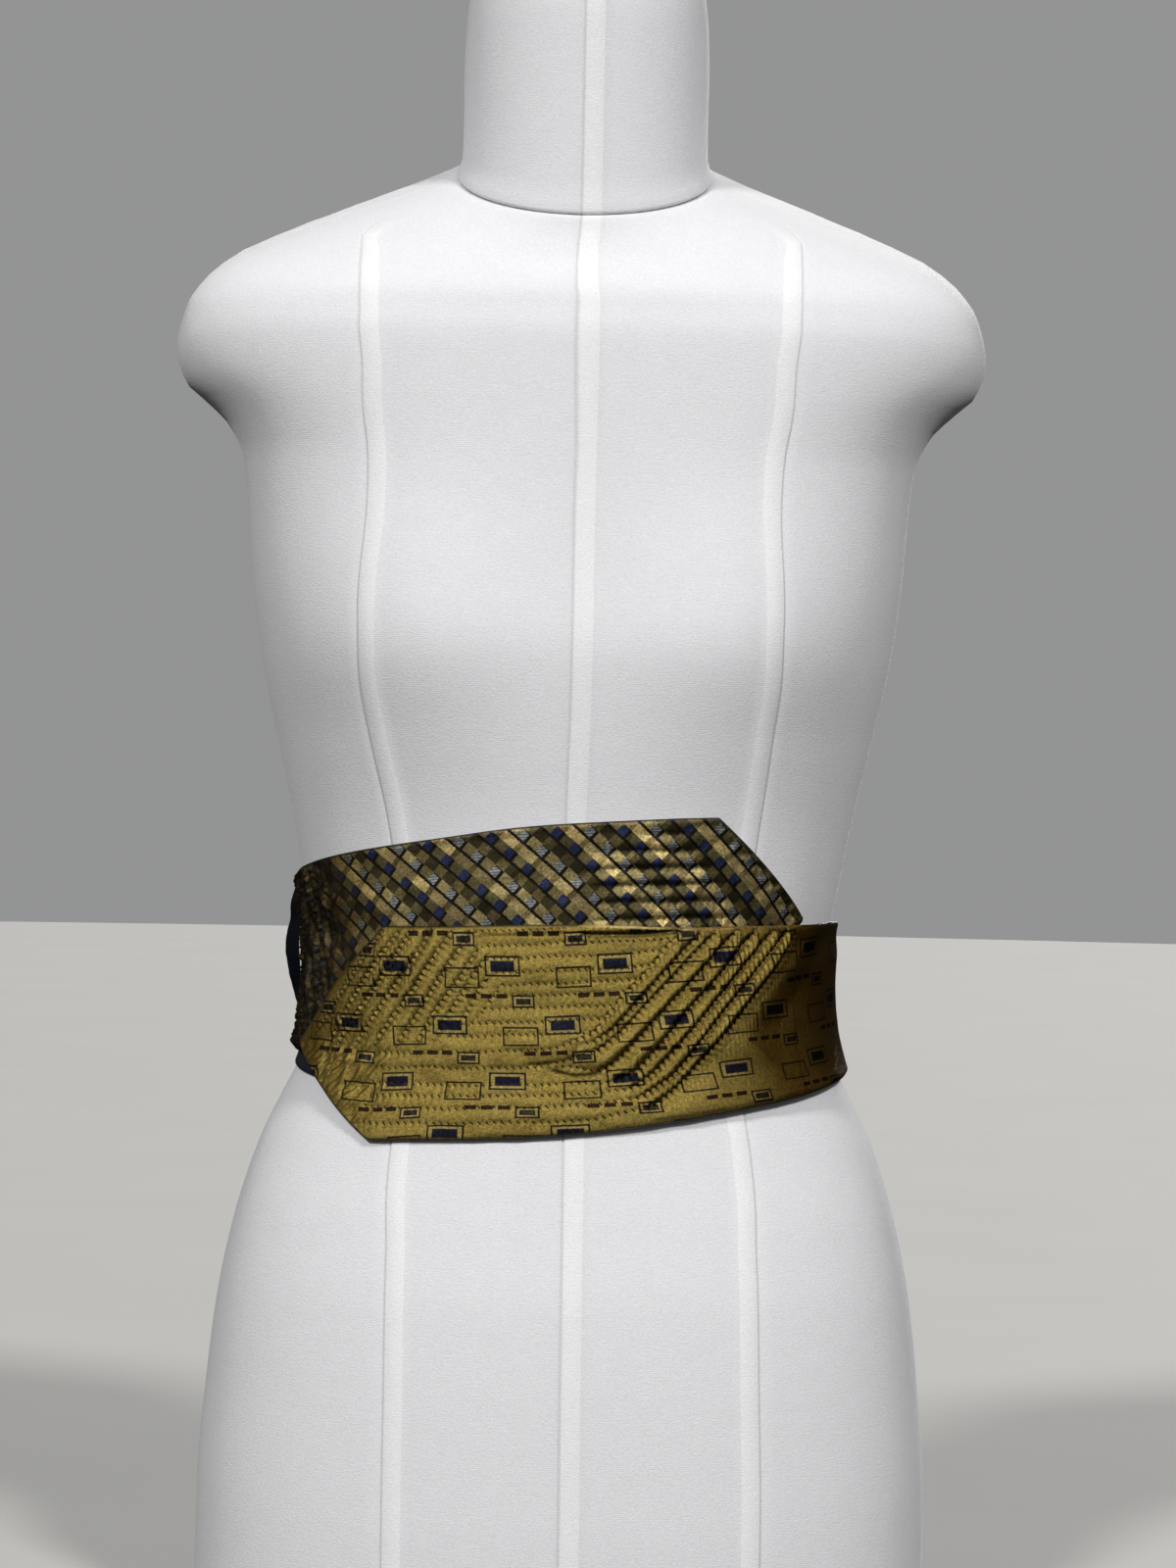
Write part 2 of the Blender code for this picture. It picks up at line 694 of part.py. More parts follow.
def make_materials():
    made = {}
    for name, (colour, roughness, sheen) in COLOURS.items():
        material = bpy.data.materials.new(name)
        material.use_nodes = True
        shader = material.node_tree.nodes["Principled BSDF"]
        shader.inputs["Base Color"].default_value = colour
        shader.inputs["Roughness"].default_value = roughness
        shader.inputs["Sheen Weight"].default_value = sheen
        material.diffuse_color = colour
        made[name] = material
    return made


for old in list(bpy.data.objects):
    bpy.data.objects.remove(old)
MATERIALS = make_materials()
make_base_board()
make_torso()
make_neck()
make_navy_band()
make_patterned_blade()
make_gold_blade()
make_navy_loop()
make_navy_tape()
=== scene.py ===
"""The obi sash on its dress form, dressed for rendering.

A place on the form is a turn round it (degrees, 0 at the centre front, positive towards +X) and a height in
millimetres. A place on the sash is a length round the waist from the centre front and a distance up from
the piece's middle line, both in millimetres. Meshes are turned to metres when they are made.
"""

import math

import bmesh
import bpy
import numpy as np
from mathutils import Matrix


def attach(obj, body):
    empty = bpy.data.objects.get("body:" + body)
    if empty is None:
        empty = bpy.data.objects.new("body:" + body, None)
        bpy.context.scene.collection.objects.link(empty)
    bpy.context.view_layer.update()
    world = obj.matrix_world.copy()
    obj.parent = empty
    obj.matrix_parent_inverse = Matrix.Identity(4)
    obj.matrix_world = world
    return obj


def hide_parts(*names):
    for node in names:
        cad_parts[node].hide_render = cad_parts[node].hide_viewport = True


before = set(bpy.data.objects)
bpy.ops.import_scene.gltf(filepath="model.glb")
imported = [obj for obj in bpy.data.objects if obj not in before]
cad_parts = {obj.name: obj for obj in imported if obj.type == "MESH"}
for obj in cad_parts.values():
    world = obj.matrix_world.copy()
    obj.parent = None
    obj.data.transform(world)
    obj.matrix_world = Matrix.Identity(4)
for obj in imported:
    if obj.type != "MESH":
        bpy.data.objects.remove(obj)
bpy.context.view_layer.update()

MM = 0.001  # in metres

# ---- the camera, at the photograph's angle

PHOTO_HEIGHT = 1600.0  # in its pixels, as the focal length is
FOCAL_LENGTH = 4131.0
SENSOR = 36.0
CAMERA_AT = (0.0071, -1.95, 0.397)
CAMERA_ROLL = 0.0193  # radians


def make_camera():
    data = bpy.data.cameras.new("camera")
    data.sensor_fit = "VERTICAL"
    data.sensor_height = SENSOR
    data.lens = SENSOR * FOCAL_LENGTH / PHOTO_HEIGHT
    made = bpy.data.objects.new("camera", data)
    bpy.context.scene.collection.objects.link(made)
    made.location = CAMERA_AT
    made.rotation_euler = (math.pi / 2, -CAMERA_ROLL, 0.0)
    bpy.context.scene.camera = made


# ---- the form's tables

TORSO_COLUMNS = ("height", "half_width", "cap", "front", "back", "squareness", "tilt")
TORSO = (
    (12.3, 174.8, 0, 107, 118, 2.15, 0.0),
    (60, 174.4, 0, 110, 122, 2.15, 0.0),
    (114, 170.4, 0, 111, 120, 2.15, 0.0),
    (152, 166.0, 0, 110, 115, 2.15, 0.0),
    (190, 158.2, 0, 106, 107, 2.15, 0.0),
    (227, 146.3, 0, 101, 97, 2.10, 0.0),
    (248, 136.3, 0, 97.5, 91, 2.10, 0.0),
    (265, 128.2, 0, 94, 86, 2.10, 0.0),
    (284, 124.0, 0, 91, 82, 2.10, 0.0),
    (303, 122.5, 0, 89, 80, 2.10, 0.0),
    (322, 123.5, 0, 88.5, 80, 2.10, 0.0),
    (341, 127.0, 0, 89.5, 82, 2.10, 0.0),
    (378, 133.8, 0, 91.2, 87, 2.10, 0.0),
    (416, 142.3, 0, 93.2, 95, 2.10, 0.0),
    (454, 150.6, 0, 93.8, 102, 2.20, 0.0),
    (492, 155.8, 0, 90.8, 107, 2.35, 0.0),
    (530, 158.6, 0, 88.8, 110, 2.50, 0.0),
    (550, 160.6, 0.4, 88, 111, 2.60, 0.0),
    (566, 163.5, 5.0, 87.2, 111, 2.75, 0.0),
    (577, 165.5, 14.0, 86.6, 110, 2.85, 0.0),
    (586, 167.0, 22.5, 86, 109, 2.90, 0.0),
    (597, 169.0, 25.0, 85.2, 107, 2.95, 0.0),
    (611, 171.0, 22.6, 84, 104, 2.95, 0.04),
    (624, 171.0, 19.0, 81.5, 100, 2.90, 0.09),
    (637, 167.5, 14.0, 79, 95, 2.80, 0.15),
    (649, 158.0, 9.0, 73, 89, 2.60, 0.21),
    (660.5, 136.5, 3.0, 66, 81, 2.40, 0.29),
    (671, 109.0, 0, 62.5, 73, 2.15, 0.37),
    (681, 79.5, 0, 59.5, 65, 2.05, 0.43),
    (689, 61.8, 0, 58, 59, 2.00, 0.45),
)
CAP_DEPTH = 66.0  # how far to the front and back the shoulder caps reach

NECK_COLUMNS = ("height", "half_width", "front", "back", "squareness", "tilt")
NECK = (
    (689.4, 61.8, 58, 59, 2.00, 0.45),
    (699, 59.0, 57, 57.5, 2.00, 0.40),
    (716, 58.8, 57, 57.5, 2.00, 0.27),
    (736, 59.0, 57, 58, 2.00, 0.13),
    (758, 58.4, 57, 58, 2.00, 0.03),
    (776, 56.6, 55.5, 56.5, 2.00, 0.0),
    (783, 54.6, 53.5, 54.5, 2.00, 0.0),
    (785.5, 51.0, 50, 51, 2.00, 0.0),
)

BUST_RISE = 16.0
BUST_HEIGHT = 463.0
BUST_APART = 84.0
BUST_SPREAD = 44.0

# Where the cover's seams run, in degrees round the form from the centre front.
SEAM_COLUMNS = ("height", "left_front", "centre", "right_front", "back")
SEAMS = (
    (12, -26.0, 0.0, 30.5, 28.0),
    (55, -26.1, 0.0, 30.5, 28.0),
    (109, -26.8, -0.1, 30.7, 28.5),
    (180, -28.9, -0.2, 32.0, 30.5),
    (217, -31.8, -0.3, 34.2, 33.0),
    (300, -36.5, -0.7, 38.0, 37.0),
    (377, -38.5, -1.0, 39.6, 39.0),
    (431, -40.7, -0.5, 38.8, 39.0),
    (470, -38.6, -0.3, 36.3, 38.0),
    (524, -33.5, -0.2, 31.8, 35.0),
    (561, -31.0, -0.1, 30.1, 34.0),
    (597, -27.8, -0.1, 27.3, 34.0),
    (617, -27.9, -0.1, 27.5, 36.2),
    (630, -28.9, -0.1, 28.5, 38.0),
    (640, -31.0, -0.2, 30.5, 40.8),
    (650, -35.5, -0.3, 34.9, 44.4),
    (655, -39.4, -0.4, 38.7, 46.5),
    (660, -45.1, -0.5, 44.3, 52.0),
    (664, -51.6, -0.6, 50.5, 58.0),
    (668, -61.2, -0.8, 59.7, 65.5),
    (672, -68.5, -1.0, 67.5, 70.5),
    (689, -75.8, -1.0, 75.9, 76.0),
)

# ---- the sash's tables

EDGE_COLUMNS = ("turn", "top", "bottom")
GOLD_EDGES = (
    (-80.0, 330.0, 229.6),
    (-41.4, 330.1, 230.0),
    (-25.0, 330.8, 231.8),
    (-7.0, 332.4, 234.2),
    (5.0, 332.8, 237.4),
    (22.5, 332.2, 243.0),
    (37.0, 333.2, 247.6),
    (51.5, 333.6, 251.5),
    (67.5, 334.2, 256.0),
    (85.0, 333.8, 260.0),
    (115.0, 331.5, 266.0),
    (150.0, 330.0, 270.5),
    (190.0, 329.0, 273.0),
)
PATTERNED_EDGES = (
    (-178.0, 335.0, 276.0),
    (-150.0, 338.0, 274.5),
    (-120.0, 344.0, 271.0),
    (-93.0, 350.8, 267.5),
    (-73.0, 356.4, 266.5),
    (-51.0, 363.2, 270.5),
    (-26.0, 371.0, 278.0),
    (-9.0, 376.8, 282.0),
    (4.0, 379.7, 284.0),
    (28.8, 383.0, 285.3),
    (64.0, 384.0, 286.5),
)
NAVY_EDGES = (
    (-180.0, 318.0, 284.0),
    (-120.0, 314.0, 268.0),
    (-71.5, 308.0, 258.3),
    (-50.0, 306.0, 255.0),
    (0.0, 304.0, 253.0),
    (60.0, 306.0, 262.0),
    (120.0, 314.0, 274.0),
    (180.0, 318.0, 284.0),
)
# The blades' points: the turns of the apex and of the corners, the apex's height, how tall its blunt tip is,
# and how far its upper edge bows out.
GOLD_POINT = {
    "apex": -71.6,
    "height": 271.0,
    "top_corner": -41.4,
    "bottom_corner": -37.6,
    "blunt": 2.4,
    "bow": 3.2,
}
PATTERNED_POINT = {
    "apex": 57.8,
    "height": 335.6,
    "top_corner": 28.8,
    "bottom_corner": 32.4,
    "blunt": 2.0,
    "bow": 0.0,
}
PATTERNED_END = -178.0
POINT_EDGE_SLANT = 0.72  # how near a point's edge lies, for each millimetre along the blade

CLEAR = 0.7  # between one layer and the next
NAVY_THICK = 1.1
PATTERNED_THICK = 2.2
GOLD_THICK = 2.6
LEDGE_MARGIN = 6.0  # a layer's full thickness shows this far past its edge, and then fades over the spread
LEDGE_SPREAD = 16.0

LOOP_TURN = -95.0
LOOP_TOP = 347.0
LOOP_BOTTOM = 286.0
LOOP_WIDE = 15.0
LOOP_NARROW = 6.0
LOOP_BULGE = 8.6
LOOP_FULLNESS = 0.7
LOOP_THICK = 1.4
LOOP_CURL = 0.85  # the share of its bulge by which its front edge turns back down to the blade
TAPE_TURN = -100.0
TAPE_TOP = 331.0
TAPE_BOTTOM = 291.0
TAPE_WIDE = 5.0
TAPE_THICK = 1.0


# ---- curves


def smooth(table, columns, name, along, at):
    """The named column of a table at these places, on a cubic that never swings past its own rows."""
    x = np.array([row[columns.index(along)] for row in table], float)
    y = np.array([row[columns.index(name)] for row in table], float)
    step = np.diff(x)
    slope = np.diff(y) / step
    tangent = np.zeros_like(y)
    tangent[0], tangent[-1] = slope[0], slope[-1]
    rising = slope[:-1] * slope[1:] > 0
    inner = np.zeros(len(x) - 2)
    before, after = slope[:-1][rising], slope[1:][rising]
    first = (2 * step[1:] + step[:-1])[rising]
    last = (step[1:] + 2 * step[:-1])[rising]
    inner[rising] = ((step[:-1] + step[1:]) * 3)[rising] / (first / before + last / after)
    tangent[1:-1] = inner
    at = np.clip(at, x[0], x[-1])
    i = np.clip(np.searchsorted(x, at, side="right") - 1, 0, len(x) - 2)
    h = step[i]
    t = (at - x[i]) / h
    return (
        (2 * t**3 - 3 * t**2 + 1) * y[i]
        + (t**3 - 2 * t**2 + t) * h * tangent[i]
        + (3 * t**2 - 2 * t**3) * y[i + 1]
        + (t**3 - t**2) * h * tangent[i + 1]
    )


def ease(value):
    """0 below 0, 1 above 1, and a smooth step between."""
    value = np.clip(value, 0.0, 1.0)
    return value * value * (3 - 2 * value)


def hump(distance, width):
    """1 at no distance, fading to nothing a few widths away."""
    return np.exp(-((distance / width) ** 2))


def wander(across, along, size, seed, waves=14):
    """A smooth random field between about -1 and 1, whose features are of this size."""
    draw = np.random.default_rng(seed)
    total = np.zeros(np.broadcast(across, along).shape)
    for _ in range(waves):
        turn = draw.uniform(0, 2 * math.pi)
        rate = 2 * math.pi / (size * draw.uniform(0.7, 1.6))
        phase = draw.uniform(0, 2 * math.pi)
        total += np.sin(rate * (math.cos(turn) * across + math.sin(turn) * along) + phase)
    return total / math.sqrt(waves)


# ---- the form's surface, in millimetres


def section(table, columns, turn, height):
    """Points of the form's sections at these turns (radians) and heights."""
    sin, cos = np.sin(turn), np.cos(turn)
    at = [smooth(table, columns, name, "height", height) for name in columns[1:]]
    value = dict(zip(columns[1:], at))
    power = 2 / value["squareness"]
    depth = np.where(cos > 0, value["front"], value["back"])
    x = value["half_width"] * np.sign(sin) * np.abs(sin) ** power
    y = -depth * np.sign(cos) * np.abs(cos) ** power
    z = height + value["tilt"] * y
    if "cap" in value:
        fade = np.exp(-((y / CAP_DEPTH) ** 2)) * sin**2
        x = x + np.sign(x) * value["cap"] * fade
        up = (z - BUST_HEIGHT) / BUST_SPREAD
        sides = [(x - side * BUST_APART) / BUST_SPREAD for side in (-1, 1)]
        rise = sum(np.exp(-(aside**2 + up**2) / 2) for aside in sides)
        y = y - BUST_RISE * rise * np.clip(cos, 0, None)
    return np.stack(np.broadcast_arrays(x, y, z), -1)


def torso(turn, height):
    return section(TORSO, TORSO_COLUMNS, turn, height)


def neck(turn, height):
    return section(NECK, NECK_COLUMNS, turn, height)


def lifted(shape, turn, height, lift):
    """Points this far straight out from a shape's surface."""
    turn, height, lift = np.broadcast_arrays(turn, height, lift)
    near = 0.01
    across = shape(turn + near, height) - shape(turn - near, height)
    upward = shape(turn, height + 1) - shape(turn, height - 1)
    out = np.cross(across, upward)
    out /= np.linalg.norm(out, axis=-1, keepdims=True)
    return shape(turn, height) + lift[..., None] * out


def over_form(degrees, height, lift):
    return lifted(torso, np.radians(degrees), height, lift)


WAIST = 303.0
TURN_STEPS = np.arange(-270.0, 271.0, 1.0)
TURN_POINTS = torso(np.radians(TURN_STEPS), WAIST)
TURN_SPANS = np.linalg.norm(np.diff(TURN_POINTS, axis=0, prepend=TURN_POINTS[:1]), axis=1)
TURN_LENGTHS = np.cumsum(TURN_SPANS)
TURN_LENGTHS -= np.interp(0.0, TURN_STEPS, TURN_LENGTHS)


def length_at(degrees):
    return np.interp(degrees, TURN_STEPS, TURN_LENGTHS)


def turn_at(length):
    return np.interp(length, TURN_LENGTHS, TURN_STEPS)


# ---- the sash's outlines and layers


def long_edges(edges, turn):
    """(top, bottom) of a piece's long edges."""
    return tuple(smooth(edges, EDGE_COLUMNS, name, "turn", turn) for name in ("top", "bottom"))


def cut_edges(edges, point, turn):
    """(top, bottom) with the blade's point cut, its upper edge bowed a little outwards."""
    top, bottom = long_edges(edges, turn)
    apex = length_at(point["apex"])
    here = length_at(turn)
    share_top = np.abs(here - apex) / abs(length_at(point["top_corner"]) - apex)
    share_bottom = np.abs(here - apex) / abs(length_at(point["bottom_corner"]) - apex)
    high = point["height"] + point["blunt"] / 2
    low = point["height"] - point["blunt"] / 2
    bowed = point["bow"] * np.sin(math.pi * np.clip(share_top, 0, 1)) ** 2
    return (
        np.where(share_top < 1, high + (top - high) * share_top + bowed, top),
        np.where(share_bottom < 1, low + (bottom - low) * share_bottom, bottom),
    )


def beyond(edges, point, end, turn, height):
    """How far a place lies outside a piece: negative inside."""
    top, bottom = long_edges(edges, turn)
    outside = np.maximum(height - top, bottom - height)
    if point:
        toward = 1 if point["apex"] > end else -1
        here, apex = length_at(turn), length_at(point["apex"])
        high, low = long_edges(edges, point["top_corner"])
        upper = height > point["height"]
        reach = np.where(upper, high - point["height"], point["height"] - low)
        corner = np.where(upper, length_at(point["top_corner"]), length_at(point["bottom_corner"]))
        edge = apex + (corner - apex) * np.minimum(np.abs(height - point["height"]) / reach, 1)
        outside = np.maximum(outside, toward * (here - edge) * POINT_EDGE_SLANT)
        outside = np.maximum(outside, -toward * (here - length_at(end)))
    return outside


def wrapped(turn):
    return (turn + 180.0) % 360.0 - 180.0


def cover(outside):
    """1 over a lower layer, easing to 0 past its edge."""
    return ease(1 - (outside - LEDGE_MARGIN) / LEDGE_SPREAD)


def patterned_lift(turn, height):
    return CLEAR + cover(beyond(NAVY_EDGES, None, 0, wrapped(turn), height)) * (NAVY_THICK + CLEAR)


def gold_lift(turn, height):
    here = wrapped(turn)
    ends = PATTERNED_EDGES, PATTERNED_POINT, PATTERNED_END
    front = beyond(*ends, here, height)
    behind = np.where(here > 90, beyond(*ends, here - 360, height), front)
    return patterned_lift(turn, height) + cover(np.minimum(front, behind)) * (PATTERNED_THICK + CLEAR)


# ---- meshes


def add_mesh(name, points, faces, material, masks=None):
    """An object from points in millimetres. masks are attributes: a number or a triple for each point."""
    mesh = bpy.data.meshes.new(name)
    mesh.from_pydata((np.asarray(points) * MM).tolist(), [], faces)
    for title, values in (masks or {}).items():
        values = np.asarray(values, np.float32)
        kind, slot = ("FLOAT_VECTOR", "vector") if values.ndim == 2 else ("FLOAT", "value")
        made = mesh.attributes.new(title, kind, "POINT")
        made.data.foreach_set(slot, values.ravel())
    shape = bmesh.new()
    shape.from_mesh(mesh)
    bmesh.ops.recalc_face_normals(shape, faces=shape.faces)
    shape.to_mesh(mesh)
    shape.free()
    mesh.shade_smooth()
    mesh.materials.append(material)
    piece = bpy.data.objects.new(name, mesh)
    bpy.context.scene.collection.objects.link(piece)
    return piece


def grid_faces(numbers, closed=False):
    """Quads through a grid of point numbers whose first side is the columns."""
    if closed:
        numbers = np.vstack([numbers, numbers[:1]])
    a, b = numbers[:-1, :-1], numbers[1:, :-1]
    c, d = numbers[1:, 1:], numbers[:-1, 1:]
    return np.stack([a, b, c, d], -1).reshape(-1, 4).tolist()


def zipped(first, first_at, second, second_at):
    """Triangles between two rows of point numbers that run the same way, given where their points lie."""
    faces = []
    i = j = 0
    while i < len(first) - 1 or j < len(second) - 1:
        if j == len(second) - 1 or (i < len(first) - 1 and first_at[i + 1] <= second_at[j + 1]):
            faces.append((first[i], first[i + 1], second[j]))
            i += 1
        else:
            faces.append((first[i], second[j + 1], second[j]))
            j += 1
    return faces


def shell(name, outer, inner, shares, inner_shares, material, masks, closed=False):
    """A closed wall from grids of an outer and an inner face, which meet along the edges they share.

    Both grids have the same columns. Their rows lie at these shares of the height, and the inner grid's
    outermost rows and columns are left out, because the outer grid's stand for them."""
    columns, rows = outer.shape[:2]
    out = np.arange(columns * rows).reshape(columns, rows)
    keep = slice(None) if closed else slice(1, -1)
    core = inner[keep, 1:-1]
    back = columns * rows + np.arange(core.shape[0] * core.shape[1]).reshape(core.shape[:2])
    rim = out[keep]
    lined = np.hstack([rim[:, :1], back, rim[:, -1:]])
    faces = grid_faces(out, closed) + grid_faces(lined, closed)
    if not closed:
        faces += zipped(out[0], shares, lined[0], inner_shares)
        faces += zipped(out[-1], shares, lined[-1], inner_shares)
    points = np.concatenate([outer.reshape(-1, 3), core.reshape(-1, 3)])
    full = {}
    for title, (front, behind) in masks.items():
        width = front.shape[2:]
        filled = np.broadcast_to(np.asarray(behind, float), core.shape[:2] + width)
        full[title] = np.concatenate([front.reshape((-1,) + width), filled.reshape((-1,) + width)])
    return add_mesh(name, points, [[int(n) for n in f] for f in faces], material, full)


def stack_rings(name, rings, material, masks):
    """A closed solid through rings (rows of points round), with its two ends filled."""
    count, around = rings.shape[:2]
    numbers = np.arange(count * around).reshape(count, around)
    faces = grid_faces(numbers.T, closed=True)
    faces.append(numbers[0][::-1].tolist())
    faces.append(numbers[-1].tolist())
    flat = {title: values.reshape(-1) for title, values in masks.items()}
    return add_mesh(name, rings.reshape(-1, 3), faces, material, flat)


# ---- shader values


def operation(kind):
    """A method of Wire that puts a value through one kind of maths."""
    return lambda value, *others: value.math(kind, *others)


class Wire:
    """A number inside a shader, which adds, multiplies and compares like one."""

    def __init__(self, tree, socket):
        self.tree, self.socket = tree, socket

    def math(self, kind, *others, clamp=False):
        node = self.tree.nodes.new("ShaderNodeMath")
        node.operation = kind
        node.use_clamp = clamp
        for slot, value in enumerate((self, *others)):
            plug(self.tree, node.inputs[slot], value)
        return Wire(self.tree, node.outputs[0])

    __add__, __sub__ = operation("ADD"), operation("SUBTRACT")
    __mul__, __truediv__ = operation("MULTIPLY"), operation("DIVIDE")
    __abs__, floor, fract = operation("ABSOLUTE"), operation("FLOOR"), operation("FRACT")
    below, above = operation("LESS_THAN"), operation("GREATER_THAN")  # 1 where that is so, 0 elsewhere
    least, most = operation("MINIMUM"), operation("MAXIMUM")
    sine, cosine, power = operation("SINE"), operation("COSINE"), operation("POWER")

    def wrap(self, half):
        """Brought to between -half and half."""
        return self.math("WRAP", half, -half)

    def clamped(self):
        return self.math("ADD", 0.0, clamp=True)

    def ramp(self, start, span):
        """0 up to the start, 1 from a span past it. With a negative span it climbs the other way."""
        return ((self - start) / span).clamped()

    def turn_of(self, cosine):
        """The share of a whole turn, -0.5 to 0.5, that has this for its sine."""
        return self.math("ARCTAN2", cosine) / (2 * math.pi)


def plug(tree, socket, value):
    if isinstance(value, Wire):
        tree.links.new(value.socket, socket)
    else:
        socket.default_value = value


MIX_COLOURS = (6, 7)  # the Mix node's sockets for colours, and its result
MIX_RESULT = 2


class Nodes:
    """Makers for the nodes of a tree."""

    def __init__(self, tree):
        self.tree = tree

    def node(self, kind, inputs=(), output=0, **settings):
        """A new node's output. inputs maps its sockets to their values."""
        made = self.tree.nodes.new(kind)
        for title, value in settings.items():
            setattr(made, title, value)
        for slot, value in dict(inputs).items():
            plug(self.tree, made.inputs[slot], value)
        return Wire(self.tree, made.outputs[output])

    def attribute(self, title, output="Fac"):
        return self.node("ShaderNodeAttribute", output=output, attribute_name=title)

    def split(self, vector):
        made = self.node("ShaderNodeSeparateXYZ", {0: vector}).socket.node
        return [Wire(self.tree, out) for out in made.outputs]

    def join(self, *parts):
        return self.node("ShaderNodeCombineXYZ", enumerate(parts))

    def place(self):
        """The point on the object, in millimetres."""
        return [part / MM for part in self.split(self.node("ShaderNodeTexCoord", output="Object"))]

    def noise(self, vector, scale, detail=2.0, roughness=0.5):
        """Smooth noise between -0.5 and 0.5. scale is features for each unit of the vector."""
        settings = {"Vector": vector, "Scale": scale, "Detail": detail, "Roughness": roughness}
        return self.node("ShaderNodeTexNoise", settings, "Fac") - 0.5

    def dice(self, vector):
        """A random number between -0.5 and 0.5 for each whole place of the vector."""
        return self.node("ShaderNodeTexWhiteNoise", {"Vector": vector}, "Value", noise_dimensions="3D") - 0.5

    def mix(self, share, first, second):
        """A colour between two others, each a triple or another mix."""
        sockets = {0: share}
        for slot, value in zip(MIX_COLOURS, (first, second)):
            sockets[slot] = value if isinstance(value, Wire) else (*value, 1.0)
        return self.node("ShaderNodeMix", sockets, MIX_RESULT, data_type="RGBA", clamp_factor=True)

    def painted(self, colour, *layers):
        """A colour with others laid over it in turn, each a share and a colour."""
        for share, paint in layers:
            colour = self.mix(share, colour, paint)
        return colour

    def shade(self, colour, factor):
        """A colour made lighter or darker."""
        return self.node("ShaderNodeVectorMath", {0: colour, "Scale": factor}, operation="SCALE")

    def tint(self, colour, by):
        """A colour multiplied by another, channel by channel."""
        return self.node("ShaderNodeVectorMath", {0: colour, 1: by}, operation="MULTIPLY")


class Shader(Nodes):
    """A material with a Principled shader."""

    def __init__(self, name, **settings):
        self.material = bpy.data.materials.new(name)
        self.material.use_nodes = True
        super().__init__(self.material.node_tree)
        self.surface = self.tree.nodes["Principled BSDF"]
        self.feed(**settings)

    def feed(self, **values):
        """Sets or feeds the shader's inputs. A _ stands for each space in their names."""
        for title, value in values.items():
            plug(self.tree, self.surface.inputs[title.replace("_", " ")], value)

    def bump(self, height, distance, strength):
        """Relief from a value in steps of this many millimetres."""
        settings = {"Height": height, "Distance": distance * MM, "Strength": strength}
        self.feed(Normal=self.node("ShaderNodeBump", settings))

    def threads(self, lean, tight):
        """Satin threads that lean this many degrees up from level, to the left, on an upright wall."""
        around = self.node("ShaderNodeTangent", direction_type="RADIAL", axis="Z")
        self.feed(Tangent=around, Anisotropic=tight, Anisotropic_Rotation=(90 - lean) / 360)

    def edgewise(self, start, span):
        """How far the surface turns away from whoever looks at it, 0 to 1: the silks place painted shade by
        it.
        """
        return self.node("ShaderNodeLayerWeight", output="Facing").ramp(start, span)


# ---- plain materials

KNIT_ROW = 0.95  # between the knit's courses
KNIT_WHITE = (0.70, 0.70, 0.725)
KNIT_TAPE = (0.80, 0.80, 0.815)
KNIT_SEAM_SHADE = (0.42, 0.42, 0.44)
BOARD_DULL = (0.50, 0.50, 0.49)
BOARD_PALE = (0.62, 0.62, 0.60)
SATIN_DARK = (0.008, 0.009, 0.014)
SATIN_PALE = (0.018, 0.021, 0.033)


def knit_material():
    """Fine white jersey, paler where the seam tape lies under it, with painted shade along its seams'
    grooves.
    """
    made = Shader(
        "white_knit", Roughness=0.9, Sheen_Weight=0.25, Sheen_Roughness=0.5, Specular_IOR_Level=0.25
    )
    x, y, z = made.place()
    spot = made.join(x, y, z * 1.3)
    fine = made.noise(spot, 0.85, 3.0, 0.7)
    coarse = made.noise(spot, 0.09)
    course = ((z / KNIT_ROW + (fine + 0.5) * 1.6) * (2 * math.pi)).sine()
    tape, seam = made.attribute("tape"), made.attribute("seam")
    # Painted shade darkens the seams' grooves.
    colour = made.painted(KNIT_WHITE, (tape * 0.8, KNIT_TAPE), (seam * 0.5, KNIT_SEAM_SHADE))
    made.feed(Base_Color=made.shade(colour, fine * 0.34 + coarse * 0.05 + course * 0.006 + 1.0))
    made.bump(fine + course * 0.05, 0.34, 0.6)
    return made.material


def board_material():
    """The pale painted board under the form."""
    made = Shader("painted_board")
    x, y, z = made.place()
    grain = made.noise(made.join(x * 0.12, y, z), 0.35, 4.0, 0.6)
    made.feed(Base_Color=made.mix(grain + 0.5, BOARD_DULL, BOARD_PALE), Roughness=grain * 0.25 + 0.625)
    made.bump(grain, 0.12, 0.6)
    return made.material


def navy_material(name, depth, rough):
    """Plain dark satin, its ribs running round the form. depth scales its colour: below 1 it is painted
    shade.
    """
    made = Shader(name, Specular_IOR_Level=0.08, Anisotropic=0.4)
    x, y, z = made.place()
    thread = made.noise(made.join(x * 0.25, y * 0.25, z), 2.2, 3.0, 0.6)
    cloud = made.noise(made.join(x, y, z), 0.06)
    colour = made.mix(cloud + 0.5, SATIN_DARK, SATIN_PALE)
    made.feed(Base_Color=made.shade(colour, thread * 0.6 + depth), Roughness=thread * 0.2 + rough)
    made.bump(thread, 0.12, 0.6)
    return made.material


# ---- the silks

STITCH = 3.05  # between stitches along a row
TICK_LENGTH = 1.15  # from a stitch's middle to its end, and to its side
TICK_BREADTH = 0.42
DIAGONAL = math.sqrt(0.5)  # stitches slant up from their row at 45 degrees
RIB = 0.9  # between the weave's diagonal ribs


